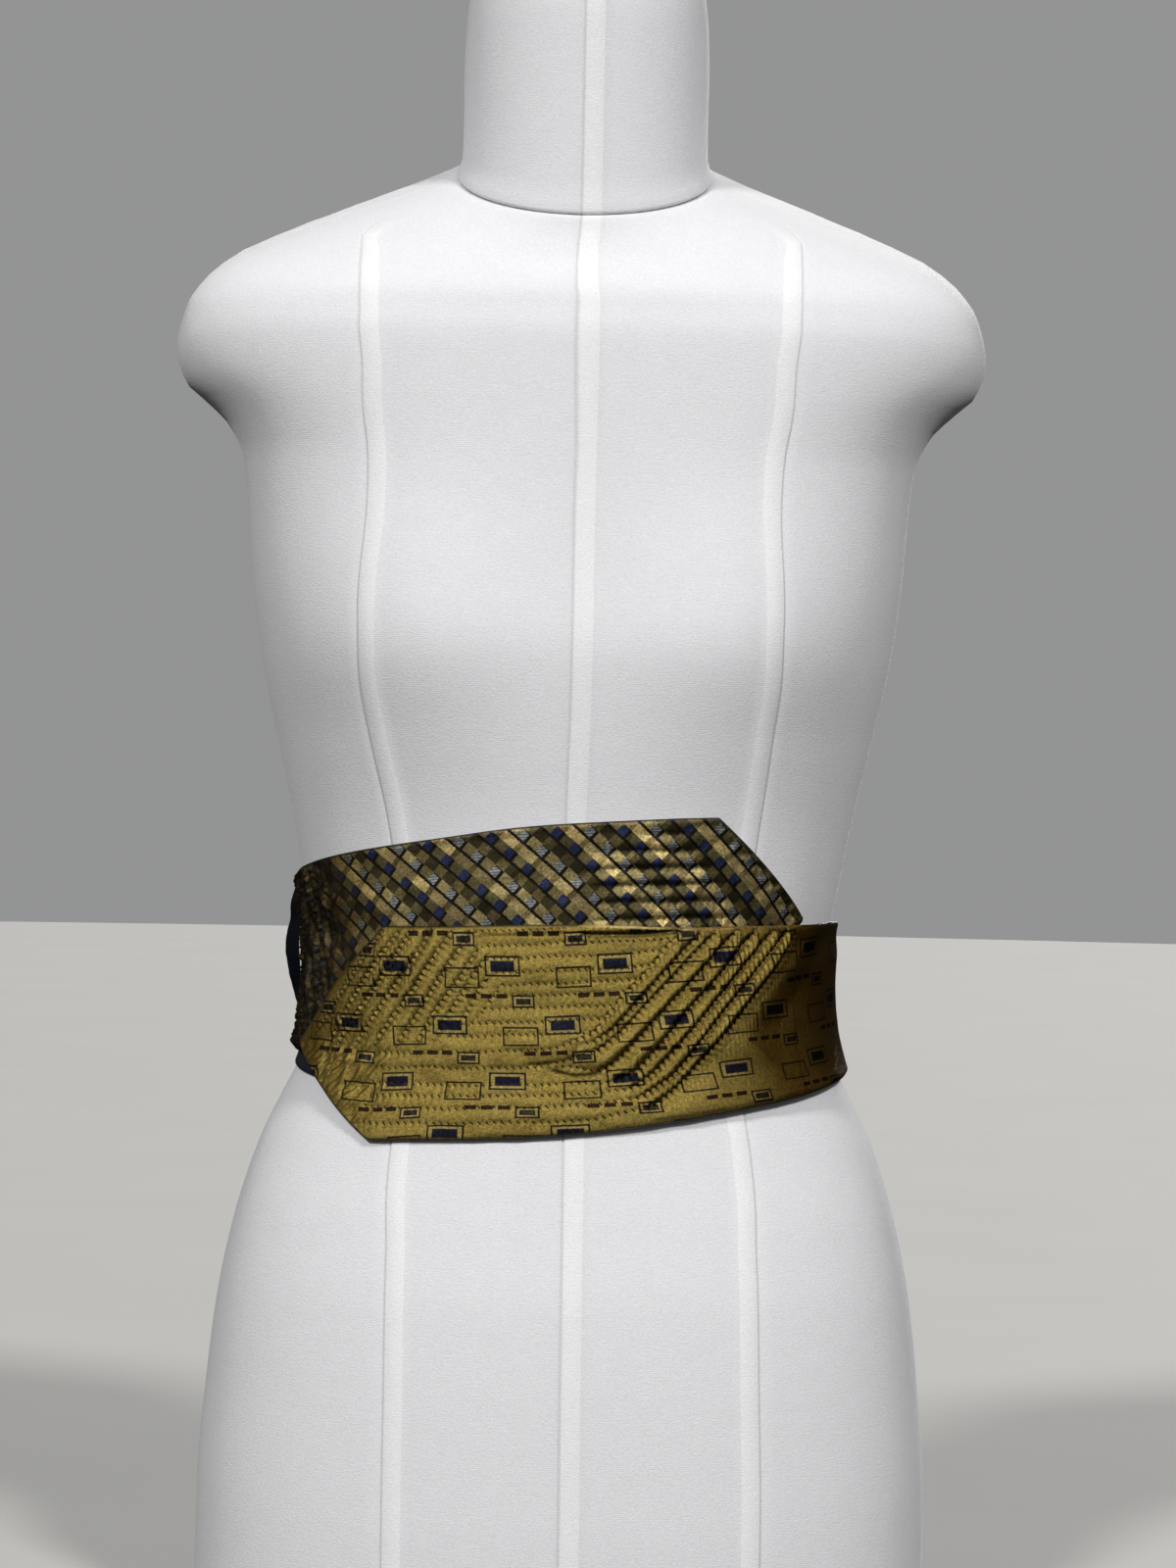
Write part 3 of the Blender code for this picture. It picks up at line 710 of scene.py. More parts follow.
class Silk(Shader):
    """Quilted silk. s and v are the place along and up the cloth, in millimetres."""

    def __init__(self, name, metallic, speck):
        super().__init__(name, Metallic=metallic)
        self.s, self.v, self.edge = self.split(self.attribute("cloth", "Vector"))
        self.spot = self.join(self.s, self.v, 0.0)
        self.thread = self.noise(self.join(self.s * 0.8, self.v * 1.3, 0.0), 1.4, 3.0, 0.75)
        self.speck = self.noise(self.spot, speck, 3.0, 0.7)
        self.wobble = self.thread * 0.35
        self.hollow_shade = self.attribute("hollow_shade")
        self.stitch()

    def stitch(self):
        """Makes the stitches' dark slanting marks, painted shade in the small dents they pull; shadows,
        painted shade above and between them; and knobs, the small swellings that they part, on the lower side
        of their row."""
        row_cosine, row_sine, width = self.split(self.attribute("row", "Vector"))
        cosine, sine, lean = self.split(self.attribute("stitch", "Vector"))
        sewn = self.attribute("sewn")
        off = row_sine.turn_of(row_cosine) * width
        along = sine.turn_of(cosine) * STITCH
        across = along * lean.cosine() - off * lean.sine()
        upward = along * lean.sine() + off * lean.cosine()
        length = (abs(across - upward) * DIAGONAL).ramp(TICK_LENGTH, -0.35)
        breadth = (abs(across + upward + self.thread) * DIAGONAL).ramp(TICK_BREADTH, -0.18)
        swallowed = sewn.ramp(0.75, 0.25) * 0.6
        self.stitches_and_shade = breadth * length * (sewn * 9.0).clamped() * (swallowed * -1.0 + 1.0)
        shown = (sewn * 2.6).clamped()
        cusp = abs(along) * (2.0 / STITCH)
        swell = cusp * (cusp * -1.0 + 2.0)
        above = off - swell * 1.5 + 0.6
        rows = (above * 3.0).clamped() * above.ramp(3.0, -3.0) * shown
        reach = abs(off + 1.4).ramp(2.8, -2.8) * shown
        self.shadows = rows + (swell * -1.0 + 1.0) * reach * 0.4
        self.knobs = swell * reach

    def finish(self, colour, tone, sheen, edgewise_shade_share, roughness, relief, strength):
        """Gives the silk its colour, tinted darker as painted shade where it turns edgewise, and its relief.
        """
        colour = self.mix(edgewise_shade_share, colour, self.tint(colour, sheen))
        self.feed(Base_Color=self.shade(colour, tone), Roughness=self.thread * 0.2 + roughness)
        ribs = ((self.s + self.v) * (2 * math.pi / RIB)).sine()
        self.bump(ribs * 0.12 + relief, 0.20, strength)
        return self.material


REPEAT = 49.5  # along the blade, between one motif and the next
ROW = 25.6  # between rows of motifs, every second one half a repeat further on
ROWS_FROM = 29.2  # the first row's height
MOTIFS_FROM = 20.2  # its first framed box's place along the blade
ROW_DRIFT = 0.085  # how far motifs move along for each millimetre down
ROW_SPLIT = 0.547  # the share of the gap above a row that is drawn with it
ROW_SAG = 0.1  # rows lie lower by this share of a row at the sag's middle, and not at all its reach away
SAG_MIDDLE = -8.7
SAG_REACH = 38.0
# The motifs, each a box round a place in the repeat: (along, up, width, height, width of its line).
MOTIFS = {
    "framed": (0.0, 0.0, 14.8, 7.6, 0.84),
    "framed_fill": (0.0, 0.0, 10.2, 4.1, 0.5),
    "small": (-16.6, 10.7, 9.1, 4.9, 0.84),
    "small_fill": (-16.6, 10.7, 6.4, 2.6, 0.0),
    "empty": (-18.5, -4.8, 14.9, 8.0, 0.80),
    "faint": (-18.3, -4.9, 11.4, 5.0, 0.5),
}
DASH_ROWS = ((-8.0, -13.0), (16.75, 13.0))  # the same row, seen from the rows of boxes above and below it
DASH_PITCH, DASH_LENGTH, DASH_HEIGHT, DASHES_LENGTH = 6.8, 4.9, 2.0, 20.0
GOLD_PAINTS = {
    "ground": (0.225, 0.164, 0.036),
    "worn": (0.215, 0.160, 0.040),
    "pale": (0.255, 0.193, 0.058),
    "faint": (0.110, 0.072, 0.013),
    "line": (0.016, 0.011, 0.005),
    "dash": (0.020, 0.009, 0.004),
    "navy_deep": (0.003, 0.004, 0.010),
    "navy": (0.008, 0.010, 0.024),
    "fill_deep": (0.010, 0.009, 0.006),
    "fill": (0.034, 0.030, 0.016),
    # the stitches' dark marks: painted shade in the dents they pull
    "stitch": (0.030, 0.018, 0.005),
    # painted shade along its rolled edges
    "edge": (0.040, 0.034, 0.018),
    # painted highlight where its folded top edge catches the light
    "fold_highlight": (0.400, 0.320, 0.130),
    "sheen": (0.34, 0.26, 0.12),  # painted shade: how dark and brown it is made where it turns edgewise, at its right end and less at its point
}


def gold_material():
    """Gold silk with a woven repeat: small framed rectangles, empty outlines and rows of dashes."""
    made = Silk("gold_silk", 0.85, 0.62)
    s, v, edge, paint = made.s, made.v, made.edge, GOLD_PAINTS
    cloud = made.noise(made.spot, 0.05)
    # The quilting draws the cloth down and inwards at its left end.
    slack = v.ramp(0.0, -45.0) * s.ramp(-50.0, -30.0)
    tuck = s.ramp(-78.0, -10.0) * v.ramp(-6.0, 6.0)
    down = v * -1.0 + ROWS_FROM + s.ramp(-10.0, -50.0) * 1.5 - slack * 3.0
    sag = (((v - SAG_MIDDLE) / SAG_REACH).power(2.0) - 1.0) * ROW_SAG
    line = down / ROW + sag
    row = (line + ROW_SPLIT).floor()
    y = (row - line) * ROW + made.wobble
    odd = (row * 0.5).fract() * 2.0
    x = s - down * ROW_DRIFT - MOTIFS_FROM - odd * (REPEAT / 2) - slack * 5.0 + made.wobble

    def box(title, x=x, y=y):
        """(inside, line): 1 inside a motif, and 1 on its outline."""
        centre_x, centre_y, width, height, line_width = MOTIFS[title]
        across = abs((x - centre_x).wrap(REPEAT / 2)) - width / 2
        outside = across.most(abs(y - centre_y) - height / 2)
        return outside.below(0.0), abs(outside).below(line_width / 2)

    def dashes_at(centre_x, centre_y):
        across = (x - centre_x).wrap(REPEAT / 2)
        along = abs(across.wrap(DASH_PITCH / 2)) - DASH_LENGTH / 2
        inside = along.most(abs(y - centre_y) - DASH_HEIGHT / 2).most(abs(across) - DASHES_LENGTH / 2)
        return inside.below(0.0)

    tucked = x - tuck * 2.5, y + tuck * 4.5
    framed, framed_line = box("framed")
    framed_fill, fill_line = box("framed_fill")
    small, small_line = box("small", *tucked)
    small_fill, _ = box("small_fill", *tucked)
    _, empty_line = box("empty")
    _, faint_line = box("faint")
    lines = framed_line.most(small_line).most(empty_line).most(fill_line * 0.85)
    first, second = (dashes_at(*place) for place in DASH_ROWS)
    dashes = first.most(second)
    colour = made.painted(
        made.mix((cloud + 0.15) * 1.4, paint["ground"], paint["worn"]),
        (framed, paint["pale"]),
        (small, paint["pale"]),
        (faint_line * 0.45, paint["faint"]),
        (framed_fill, made.mix((made.speck + 0.08) * 4.0, paint["navy_deep"], paint["navy"])),
        (small_fill, made.mix((made.speck + 0.05) * 4.0, paint["fill_deep"], paint["fill"])),
        (lines, paint["line"]),
        (dashes, paint["dash"]),
        # Painted shade: the stitches' dark marks.
        (made.stitches_and_shade * 0.95, paint["stitch"]),
        # Painted shade along the rolled edges, and a painted highlight along the folded top edge.
        (edge, paint["edge"]),
        (edge * -1.0, paint["fold_highlight"]),
    )
    grain = made.thread * 3.2 + made.speck * 2.6 + cloud * 0.18
    # The tone is darkened by painted shade above the rows and in the creases' hollows.
    tone = grain + 1.24 - made.shadows * 0.95 - made.hollow_shade * 0.6
    # Painted shade: darker and browner where the silk turns edgewise, at its right end and less so at its
    # point.
    edgewise_shade_share = made.edgewise(0.05, 0.22) * s.ramp(24.0, 44.0).most(s.ramp(-70.0, -50.0) * 0.6)
    relief = made.thread * 2.4 + made.knobs * 3.0 - lines * 0.2 - made.stitches_and_shade * 0.7
    made.threads(45.0, 0.8)
    return made.finish(colour, tone, paint["sheen"], edgewise_shade_share, dashes * 0.1 + 0.46, relief, 0.9)


TILE_DROP = 7.8  # between one diamond and the next down a strip
STRIP = 13.87  # between strips, round the blade
STRIP_LEAN = 0.5516  # how much of a strip they move along for each diamond down
TILES_FROM = (15.2, 36.0)  # a diamond's place along and up the blade
STRIPE = 1.25  # between the stripes on its diamonds
PATTERNED_PAINTS = {
    "even": (0.110, 0.087, 0.034),
    "even_brown": (0.032, 0.026, 0.009),
    "odd": (0.170, 0.128, 0.050),
    "odd_bright": (0.350, 0.272, 0.115),
    "filler_even": (0.235, 0.190, 0.080),
    "filler_odd": (0.130, 0.108, 0.045),
    "grey": (0.230, 0.245, 0.240),
    "grey_stripe": (0.055, 0.058, 0.056),
    "navy": (0.020, 0.028, 0.080),
    "navy_stripe": (0.010, 0.014, 0.040),
    "line": (0.007, 0.005, 0.003),
    "shadow": (0.007, 0.006, 0.003),
    # the stitches' dark marks: painted shade in the dents they pull
    "stitch": (0.030, 0.024, 0.012),
    # painted shade over the gathered left end
    "gathered": (0.034, 0.024, 0.012),
    # painted shade along its rolled edges
    "edge": (0.012, 0.012, 0.010),
    # painted shade where it turns edgewise at its left end
    "sheen": (0.52, 0.46, 0.32),
}


def patterned_material():
    """Olive and gold silk woven in slanting strips of small tiles, with grey and navy diamonds."""
    made = Silk("patterned_silk", 0.8, 0.75)
    s, v, paint = made.s, made.v, PATTERNED_PAINTS
    down = (v * -1.0 + TILES_FROM[1] + made.wobble) / TILE_DROP
    across = (s - TILES_FROM[0] + made.wobble) / STRIP - down * STRIP_LEAN
    strip = (across + 0.25).floor()
    in_strip = across - strip
    tiles_down = down + in_strip * 0.9
    tile = tiles_down.floor()
    in_tile = tiles_down - tile
    odd = (strip * 0.5).fract() * 2.0
    column = in_strip.above(0.25)
    low = in_tile.above(0.25)
    even_tile = made.mix(low * in_tile.below(0.8), paint["even"], paint["even_brown"])
    odd_tile = made.mix(low, paint["odd"], paint["odd_bright"])
    filler = made.mix(odd, paint["filler_even"], paint["filler_odd"])
    luck = made.dice(made.join(strip, tile, column))
    tiles = made.shade(made.mix(column, filler, made.mix(odd, even_tile, odd_tile)), luck * 1.1 + 1.0)

    rise = down - (down + 0.5).floor()
    near_strip = (across + 0.5).floor()
    over = (across - near_strip + rise * STRIP_LEAN) * STRIP
    diamond = abs(over) / 2.6 + abs(rise) * (TILE_DROP / 2.9)
    shadow = abs(over - 0.7) / 3.1 + abs(rise - 0.10) * (TILE_DROP / 3.3)
    stripes = (v * (2 * math.pi / STRIPE)).sine().above(0.1)
    grey = made.mix(stripes * 0.75, paint["grey"], paint["grey_stripe"])
    navy = made.mix(stripes * 0.35, paint["navy"], paint["navy_stripe"])
    line = (abs(in_strip + 0.25).least(abs(in_strip - 0.75)) * STRIP + made.thread * 2.4).below(0.95)
    colour = made.painted(
        tiles,
        (line, paint["line"]),
        (shadow.below(1.1), paint["shadow"]),
        (diamond.below(1.0), made.mix((near_strip * 0.5).fract() * 2.0, grey, navy)),
        # Painted shade: the stitches' dark marks.
        (made.stitches_and_shade * 0.3, paint["stitch"]),
        # Painted shade over the gathered left end.
        (s.ramp(-100.0, -16.0) * 0.75, paint["gathered"]),
        # Painted shade along the rolled edges.
        (made.edge, paint["edge"]),
    )
    grain = made.thread * 2.6 + made.speck * 3.8
    # The tone is darkened by painted shade above the rows and in the gathers' hollows.
    tone = grain + 1.30 - made.shadows * 0.4 - made.hollow_shade * 0.85
    # Painted shade where the silk turns edgewise at its left end.
    edgewise_shade_share = made.edgewise(0.06, 0.26) * s.ramp(-50.0, -60.0)
    relief = made.thread * 1.4 + made.knobs * 0.3 - line * 0.4 - made.stitches_and_shade * 0.6
    made.threads(60.0, 0.5)
    return made.finish(colour, tone, paint["sheen"], edgewise_shade_share, 0.50, relief, 0.8)


# ---- the dress form

SEAM_DEPTH = 0.5
SEAM_WIDTH = 0.6
TAPE_RELIEF = 0.22
TAPE_EDGE = 9.4  # the tape's far edge from its seam
NEAR_SEAM = (0.0, 0.5, 1.1)  # columns this far from a seam, and these round the tape's far edge
FAR_SEAM = (TAPE_EDGE - 0.15, TAPE_EDGE + 0.35)
NARROW_PANEL = 60.0  # in panels narrower than this, those columns and the tape narrow too
FAR_AWAY = 99.0
# The covers' rings, from the bottom up: (height, how far drawn in) at both ends, (from, to, apart) between.
FORM_FOOT = ((12.3, 2.4), (12.6, 1.1), (13.4, 0.3), (15.0, 0.0))
FORM_SPAN = (18.0, 684.0, 5.5)
FORM_TOP = ((685.5, 0.0), (687.4, 0.1), (688.5, 0.4), (689.0, 1.1))
NECK_FOOT = ((689.4, 1.1), (689.8, 0.4), (690.8, 0.1))
NECK_SPAN = (694.0, 782.0, 4.0)
NECK_RIM = ((782.5, 0.0), (784.0, 0.0), (785.0, 0.0), (785.5, 0.0))
FORM_SPACING = 7.0  # between columns
NECK_SPACING = 6.0
# The rings that close the neck's top: (share of the rim's size, how far above it, how much of a seam).
NECK_TOP = (
    (0.93, 0.1, 0.0),
    (0.905, 0.15, 0.0),
    (0.89, -0.35, 1.0),
    (0.875, 0.15, 0.0),
    (0.85, 0.3, 0.0),
    (0.7, 0.5, 0.0),
    (0.45, 0.7, 0.0),
    (0.2, 0.8, 0.0),
    (0.04, 0.8, 0.0),
)


def panel_columns(shape, left, right, heights, tape_left, tape_right, spacing):
    """Columns across one panel of the cover, from its left seam to just before its right one.

    Returns turns in radians (rows by columns), each column's distance from its nearer seam, and whether it
    lies on a tape."""
    from_left = np.array(NEAR_SEAM + (FAR_SEAM if tape_left else ()))
    from_right = np.array(NEAR_SEAM[1:] + (FAR_SEAM if tape_right else ()))[::-1]
    between = left[:, None] + (right - left)[:, None] * np.linspace(0, 1, 25)
    points = shape(between, heights[:, None])
    spans = np.linalg.norm(np.diff(points, axis=1, prepend=points[:, :1]), axis=2)
    lengths = np.cumsum(spans, axis=1)
    whole = lengths[:, -1:]
    scale = np.minimum(whole / NARROW_PANEL, 1.0)
    middle = max(3, int(np.max(whole) / spacing))
    shares = np.linspace(0, 1, middle + 2)[1:-1]
    low, high = from_left[-1], from_right[0]
    inside = low * scale + (whole - (low + high) * scale) * shares
    wanted = np.hstack([scale * from_left, inside, whole - scale * from_right])
    turns = np.stack([np.interp(*row) for row in zip(wanted, lengths, between)])
    distance = np.concatenate([from_left, np.full(middle, FAR_AWAY), from_right])
    beside = np.repeat([tape_left, False, tape_right], [len(from_left), middle, len(from_right)])
    return turns, distance, beside & (distance > 0) & (distance < TAPE_EDGE)


def covered(name, shape, seams, heights, inset, spacing, top=None):
    """A cloth-covered solid. Its seams, in order round it, are each a place for every height (degrees), the
    sides on which a tape lies ("-", "+" or nothing) and how much of both shows at every height."""
    parts = []
    for (left, left_tape, left_fade), (right, right_tape, right_fade) in zip(seams, seams[1:]):
        turns, distance, taped = panel_columns(
            shape, np.radians(left), np.radians(right), heights, "+" in left_tape, "-" in right_tape, spacing
        )
        nearer_left = np.arange(len(distance)) < len(distance) // 2
        fade = np.where(nearer_left, left_fade[:, None], right_fade[:, None])
        parts.append((turns, np.broadcast_to(distance, turns.shape), taped * fade, fade))
    turns, distance, taped, fade = (np.hstack(part) for part in zip(*parts))
    seam = hump(distance, SEAM_WIDTH) * fade
    relief = TAPE_RELIEF * taped - SEAM_DEPTH * seam - inset[:, None]
    rings = lifted(shape, turns, heights[:, None], relief)
    if top:
        rings, taped, seam = top(rings, taped, seam)
    return stack_rings(name, rings, KNIT, {"tape": taped, "seam": seam})


def ring_places(foot, span, top):
    """(heights, insets) of a cover's rings."""
    return np.array([*foot, *((height, 0.0) for height in np.arange(*span)), *top]).T


def make_form():
    heights, inset = ring_places(FORM_FOOT, FORM_SPAN, FORM_TOP)
    at = {name: smooth(SEAMS, SEAM_COLUMNS, name, "height", heights) for name in SEAM_COLUMNS[1:]}
    flat = np.ones(len(heights))
    meets_shoulder = 1 - ease((heights - 666) / 8)
    under_caps = 1 - ease((heights - 540) / 40) * ease((640 - heights) / 20)
    seams = (
        (-180 * flat, "+", flat),
        (-180 + at["back"], "+", meets_shoulder),
        (-90 * flat, "", under_caps),
        (at["left_front"], "+", meets_shoulder),
        (at["centre"], "+", flat),
        (at["right_front"], "-", meets_shoulder),
        (90 * flat, "", under_caps),
        (180 - at["back"], "-", meets_shoulder),
        (180 * flat, "+", flat),
    )
    return covered("form_cover", torso, seams, heights, inset, FORM_SPACING)


def closed_top(rings, taped, seam):
    """The neck's top, drawn in to the middle, with a seam near its rim."""
    rim = rings[-1]
    middle = rim.mean(axis=0)
    size, rise, sunk = np.array(NECK_TOP).T[..., None]
    more = middle + (rim - middle) * size[..., None] + rise[..., None] * np.array([0, 0, 1])
    marks = np.broadcast_to(sunk, (len(more), len(rim)))
    return np.concatenate([rings, more]), np.vstack([taped, np.zeros_like(marks)]), np.vstack([seam, marks])


def make_neck():
    heights, inset = ring_places(NECK_FOOT, NECK_SPAN, NECK_RIM)
    flat = np.ones(len(heights))
    seams = [(turn * flat, "+", flat) for turn in (-180.0, -1.0, 180.0)]
    return covered("neck_cover", neck, seams, heights, inset, NECK_SPACING, closed_top)


# ---- quilting

TOOTH = 0.85  # how far a row of stitches scallops
RIDGE_SKEW = 1.45  # above 1, a ridge falls more steeply below than above
ROW_FULL = 5.5  # a row this wide puffs up fully
SEWN_FULL = 2.2  # a row that stands up this far has its full shade
STEEPEST = 2.0  # how steep a row may count as
EDGE_MARGIN = 0.4  # a row this near the piece's edge isn't there
HAIR = 1e-6

# Level rows of stitches on the gold blade, from the top down: (height above its middle line, start).
GOLD_LEVELS = (
    (46.7, -43), (39.7, -39), (33.7, -36), (27.2, -34), (21.2, -30),
    (15.6, -29), (9.6, -37), (3.2, -44), (-2.7, -52),
)
AMONG_SLANTS = -90  # where a row starts that comes out from among the slants
# The rows that bend upwards on the right, each through (length, height) points.
GOLD_BENDS = (
    ((-90, -10.4), (-20, -10.0), (-2.7, -9.0), (11.3, -3.6), (23.5, 13.3), (37, 28), (48.1, 42.3),
     (55, 51)),
    ((4, -8.2), (12, -7.0), (20, -2.0), (31, 11), (44.5, 26), (57, 40), (66, 51)),
    ((-8, -16.6), (3, -14.5), (14, -11), (27, 0.5), (39, 14), (53, 29), (66, 42), (75, 52)),
    ((-90, -17.2), (1.6, -17.5), (11.3, -20.9), (18.2, -19), (25.4, -12.6), (40.2, 3.4), (61, 25.5),
     (85, 52)),
    ((-90, -24.5), (5, -25.5), (20, -26), (29, -22), (40, -11), (57, 9), (77, 31.5), (96, 52)),
    ((-90, -29.8), (11, -30.5), (27, -29), (37, -22.5), (48.4, -12), (66, 8), (86, 31), (105, 52)),
    ((-90, -35.4), (11, -35.5), (31.2, -33.3), (44.4, -25.5), (55, -14), (73, 6), (92.6, 28.5),
     (111.5, 52)),
    ((-90, -42.3), (11, -42), (34, -38), (50, -27), (61.3, -16.1), (78.8, 1.1), (92.6, 17.3),
     (103.5, 31), (112, 45), (116, 52)),
)
# The rows along the point's upper edge: (how far they stand up, and the (length, height) points they pass).
GOLD_SLANTS = (
    (1.7, ((-125.5, -7), (-116, 4.8), (-106.5, 19), (-96.3, 32.9), (-90.3, 42.3), (-83, 51))),
    (1.6, ((-113, -10), (-108.5, -0.6), (-100.7, 14), (-92.7, 26.7), (-84.7, 37.6), (-77.2, 47.5),
           (-74.5, 51))),
    (1.6, ((-107.6, -10.5), (-105.3, -4.3), (-94.9, 11), (-84.7, 26.4), (-75.2, 41.1), (-69, 51))),
    (1.7, ((-98, -10), (-92, -0.6), (-85.4, 10.5), (-78.4, 22.5), (-69.9, 33.1), (-65, 41.8),
           (-59.5, 51))),
    (1.6, ((-87, -9.5), (-82.5, -0.6), (-77.4, 8.3), (-69.2, 20.7), (-62.1, 31.6), (-55.3, 41.8),
           (-49.3, 51))),
    (1.1, ((-77, -9.5), (-73.5, -3.6), (-66.5, 8.3), (-61.4, 17.7), (-55.6, 26.9), (-48.8, 37.9),
           (-43.6, 46.7))),
    (0.9, ((-68, -9), (-63.8, -2.1), (-58, 10.5), (-53.4, 16.8), (-46.1, 27.4), (-41, 37.6),
           (-39.8, 39.7))),
    (0.8, ((-60, -7), (-56.8, -0.9), (-50.5, 10.5), (-46.3, 17.5), (-42.9, 25.4), (-38.6, 30.9),
           (-36.5, 33.7))),
    (0.7, ((-50, -2.5), (-45.6, 5.1), (-42.9, 10.8), (-38.6, 20.7), (-35, 26.5))),
    (0.6, ((-41, 3.5), (-37.1, 9.1), (-33.2, 14.5), (-30.6, 20.0))),
)
SLANT_FADE = 9.0  # how far up a slant it takes to stand up
GOLD_CREASES = (
    # ((length, height) points, depth, width)
    (((-19, -16.0), (-12, -16.6), (-2.6, -15.6)), 0.9, 0.7),
    (((-8, -18.8), (1.6, -22.3), (9.9, -22.4), (17, -19.6)), 1.3, 0.8),
    (((3, 43.8), (14, 43.0), (30, 42.4), (44, 43.0), (52, 44.6)), 2.2, 1.3),
    (((-40, 44.8), (-20, 44.2), (8, 44.6)), 0.4, 0.8),
)


class Rows:
    """Rows of stitches, each a height for every column of a piece, and what they do to its face."""

    def __init__(self, s):
        self.s = s
        self.heights, self.amounts = [], []

    def add(self, height, shown, amount):
        """height may fall outside the piece. shown says on which columns the row is there at all."""
        self.heights.append(np.where(shown, height, np.nan))
        self.amounts.append(np.broadcast_to(amount, self.s.shape))

    def press(self, v, top, bottom, pinched=1.0):
        """The relief and the shader's stitch fields, for points that are columns by rows of heights v."""
        heights, amounts = np.array(self.heights), np.array(self.amounts)
        known = np.nan_to_num(heights)
        slopes = np.clip(np.gradient(known, self.s, axis=1), -STEEPEST, STEEPEST)
        arcs = np.cumsum(np.sqrt(1 + slopes**2) * np.gradient(self.s), axis=1)
        arcs += np.random.default_rng(11).uniform(0, STITCH, len(heights))[:, None]
        columns = []
        for c in range(len(self.s)):
            inside = (heights[:, c] < top[c] - EDGE_MARGIN) & (heights[:, c] > bottom[c] + EDGE_MARGIN)
            there = np.flatnonzero(inside)
            there = there[np.argsort(heights[there, c])]
            levels = np.concatenate([[bottom[c]], known[there, c], [top[c]]])
            slope, power, arc = (np.pad(table[there, c], 1) for table in (slopes, amounts, arcs))
            real = np.pad(np.ones(len(there)), 1)
            columns.append(pressed(v[c], levels, slope, power, arc, real, pinched))
        relief, row, stitch, sewn = (np.array(field) for field in zip(*columns))
        return relief, {"row": row, "stitch": stitch, "sewn": sewn}


def neighbours(levels, v):
    """The numbers of the levels above and below each height, and how far apart the two are."""
    up = np.clip(np.searchsorted(levels, v, side="right"), 1, len(levels) - 1)
    return up, up - 1, levels[up] - levels[up - 1]


def pressed(v, levels, slope, power, arc, real, pinched):
    """(relief, row, stitch, sewn) up one column of points.

    levels are its rows of stitches, between the piece's two edges, for which real is 0. Places between rows
    are kept as phases, so that they blend where rows begin and end."""
    steep = np.sqrt(1 + slope**2)
    up, low, gap = neighbours(levels, v)
    both = real[up] * real[low]
    rise = np.clip((v - levels[low]) / np.maximum(gap, HAIR), 0, 1)
    phase = np.where(both > 0, rise, np.where(real[low] > 0, rise / 2, (rise - 1) / 2))
    phase = np.where(real[up] + real[low] > 0, phase, 0.5) * 2 * math.pi
    near = np.where((real[low] > 0) & ((rise < 0.5) | (real[up] == 0)), low, up)
    width = gap / steep[near] * (2 - both)
    off = v - levels[near]
    along = arc[near] + off * slope[near] / steep[near]
    beat = along / STITCH * 2 * math.pi
    row = np.stack([np.cos(phase), np.sin(phase), width], -1)
    stitch = np.stack([np.cos(beat), np.sin(beat), np.arctan(slope[near])], -1)
    sewn = real[near] * np.clip(power[near] / SEWN_FULL, 0, 1)

    knob = np.abs(np.sin(math.pi * arc / STITCH))
    jagged = levels + TOOTH * pinched * (2 * knob - 1) * steep * real * ease(power)
    up, low, gap = neighbours(jagged, v)
    fall = np.clip((jagged[up] - v) / np.maximum(gap, HAIR), 0, 1)
    lean = (slope[up] + slope[low]) / np.maximum(real[up] + real[low], 1)
    across = gap / np.sqrt(1 + lean**2)
    strength = (power[up] + power[low]) / 2 * np.clip(across / ROW_FULL, 0, 1.25) ** 0.8
    puff = np.sin(math.pi * fall**RIDGE_SKEW) ** 0.8
    pinch = (0.5 + 0.5 * np.cos(beat)) ** 1.5 * hump(off + 1.2, 1.8) * real[near] * pinched
    return strength * puff - (0.10 + 0.10 * power[near]) * pinch, row, stitch, sewn


def eased_line(points, s, reach):
    """The heights of a line through (length, height) points, with its corners eased over this reach."""
    lengths, heights = zip(*points)
    half = max(1, int(reach / np.median(np.abs(np.diff(s)))))
    kernel = np.hanning(2 * half + 3)[1:-1]
    padded = np.pad(np.interp(s, lengths, heights), half, mode="edge")
    return np.convolve(padded, kernel / kernel.sum(), mode="valid")


def gold_relief(s, v, top, bottom):
    """s ascends. Returns the relief and the stitch fields."""
    rows = Rows(s)
    first_bend = eased_line(GOLD_BENDS[0], s, 4.0)
    for stands, points in GOLD_SLANTS:
        height = eased_line(points, s, 3.0)
        shown = (s > points[0][0]) & (s < points[-1][0])
        rows.add(height, shown, stands * ease((height - points[0][1]) / SLANT_FADE))
    for level, start in GOLD_LEVELS:
        height = level + 0.35 * wander(s, level, 26, 5)
        rows.add(height, (s > start) & (height > first_bend), 0.3)
    for points in GOLD_BENDS:
        height = eased_line(points, s, 4.0)
        slope = np.gradient(height, s)
        begins, ends = points[0][0], points[-1][0]
        fade_in = ease((s - begins + 2) / 14) if begins == AMONG_SLANTS else ease((s - begins) / 6)
        amount = (0.3 + 1.9 * ease((slope - 0.1) / 0.7)) * fade_in
        drift = 0.3 * wander(s, 50 * points[1][1], 24, 6)
        rows.add(height + drift, (s > begins) & (s < ends), amount)
    return rows.press(v, top, bottom)


def crease_press(creases, s, v):
    """How far creases sink the face, with their ends fading out."""
    depth = np.zeros(v.shape)
    for points, deep, wide in creases:
        line = eased_line(points, s, 2.5)
        ends = ease((s - points[0][0]) / 5) * ease((points[-1][0] - s) / 5)
        depth += deep * ends[:, None] * hump(v - line[:, None], wide)
    return depth


# ---- the blades

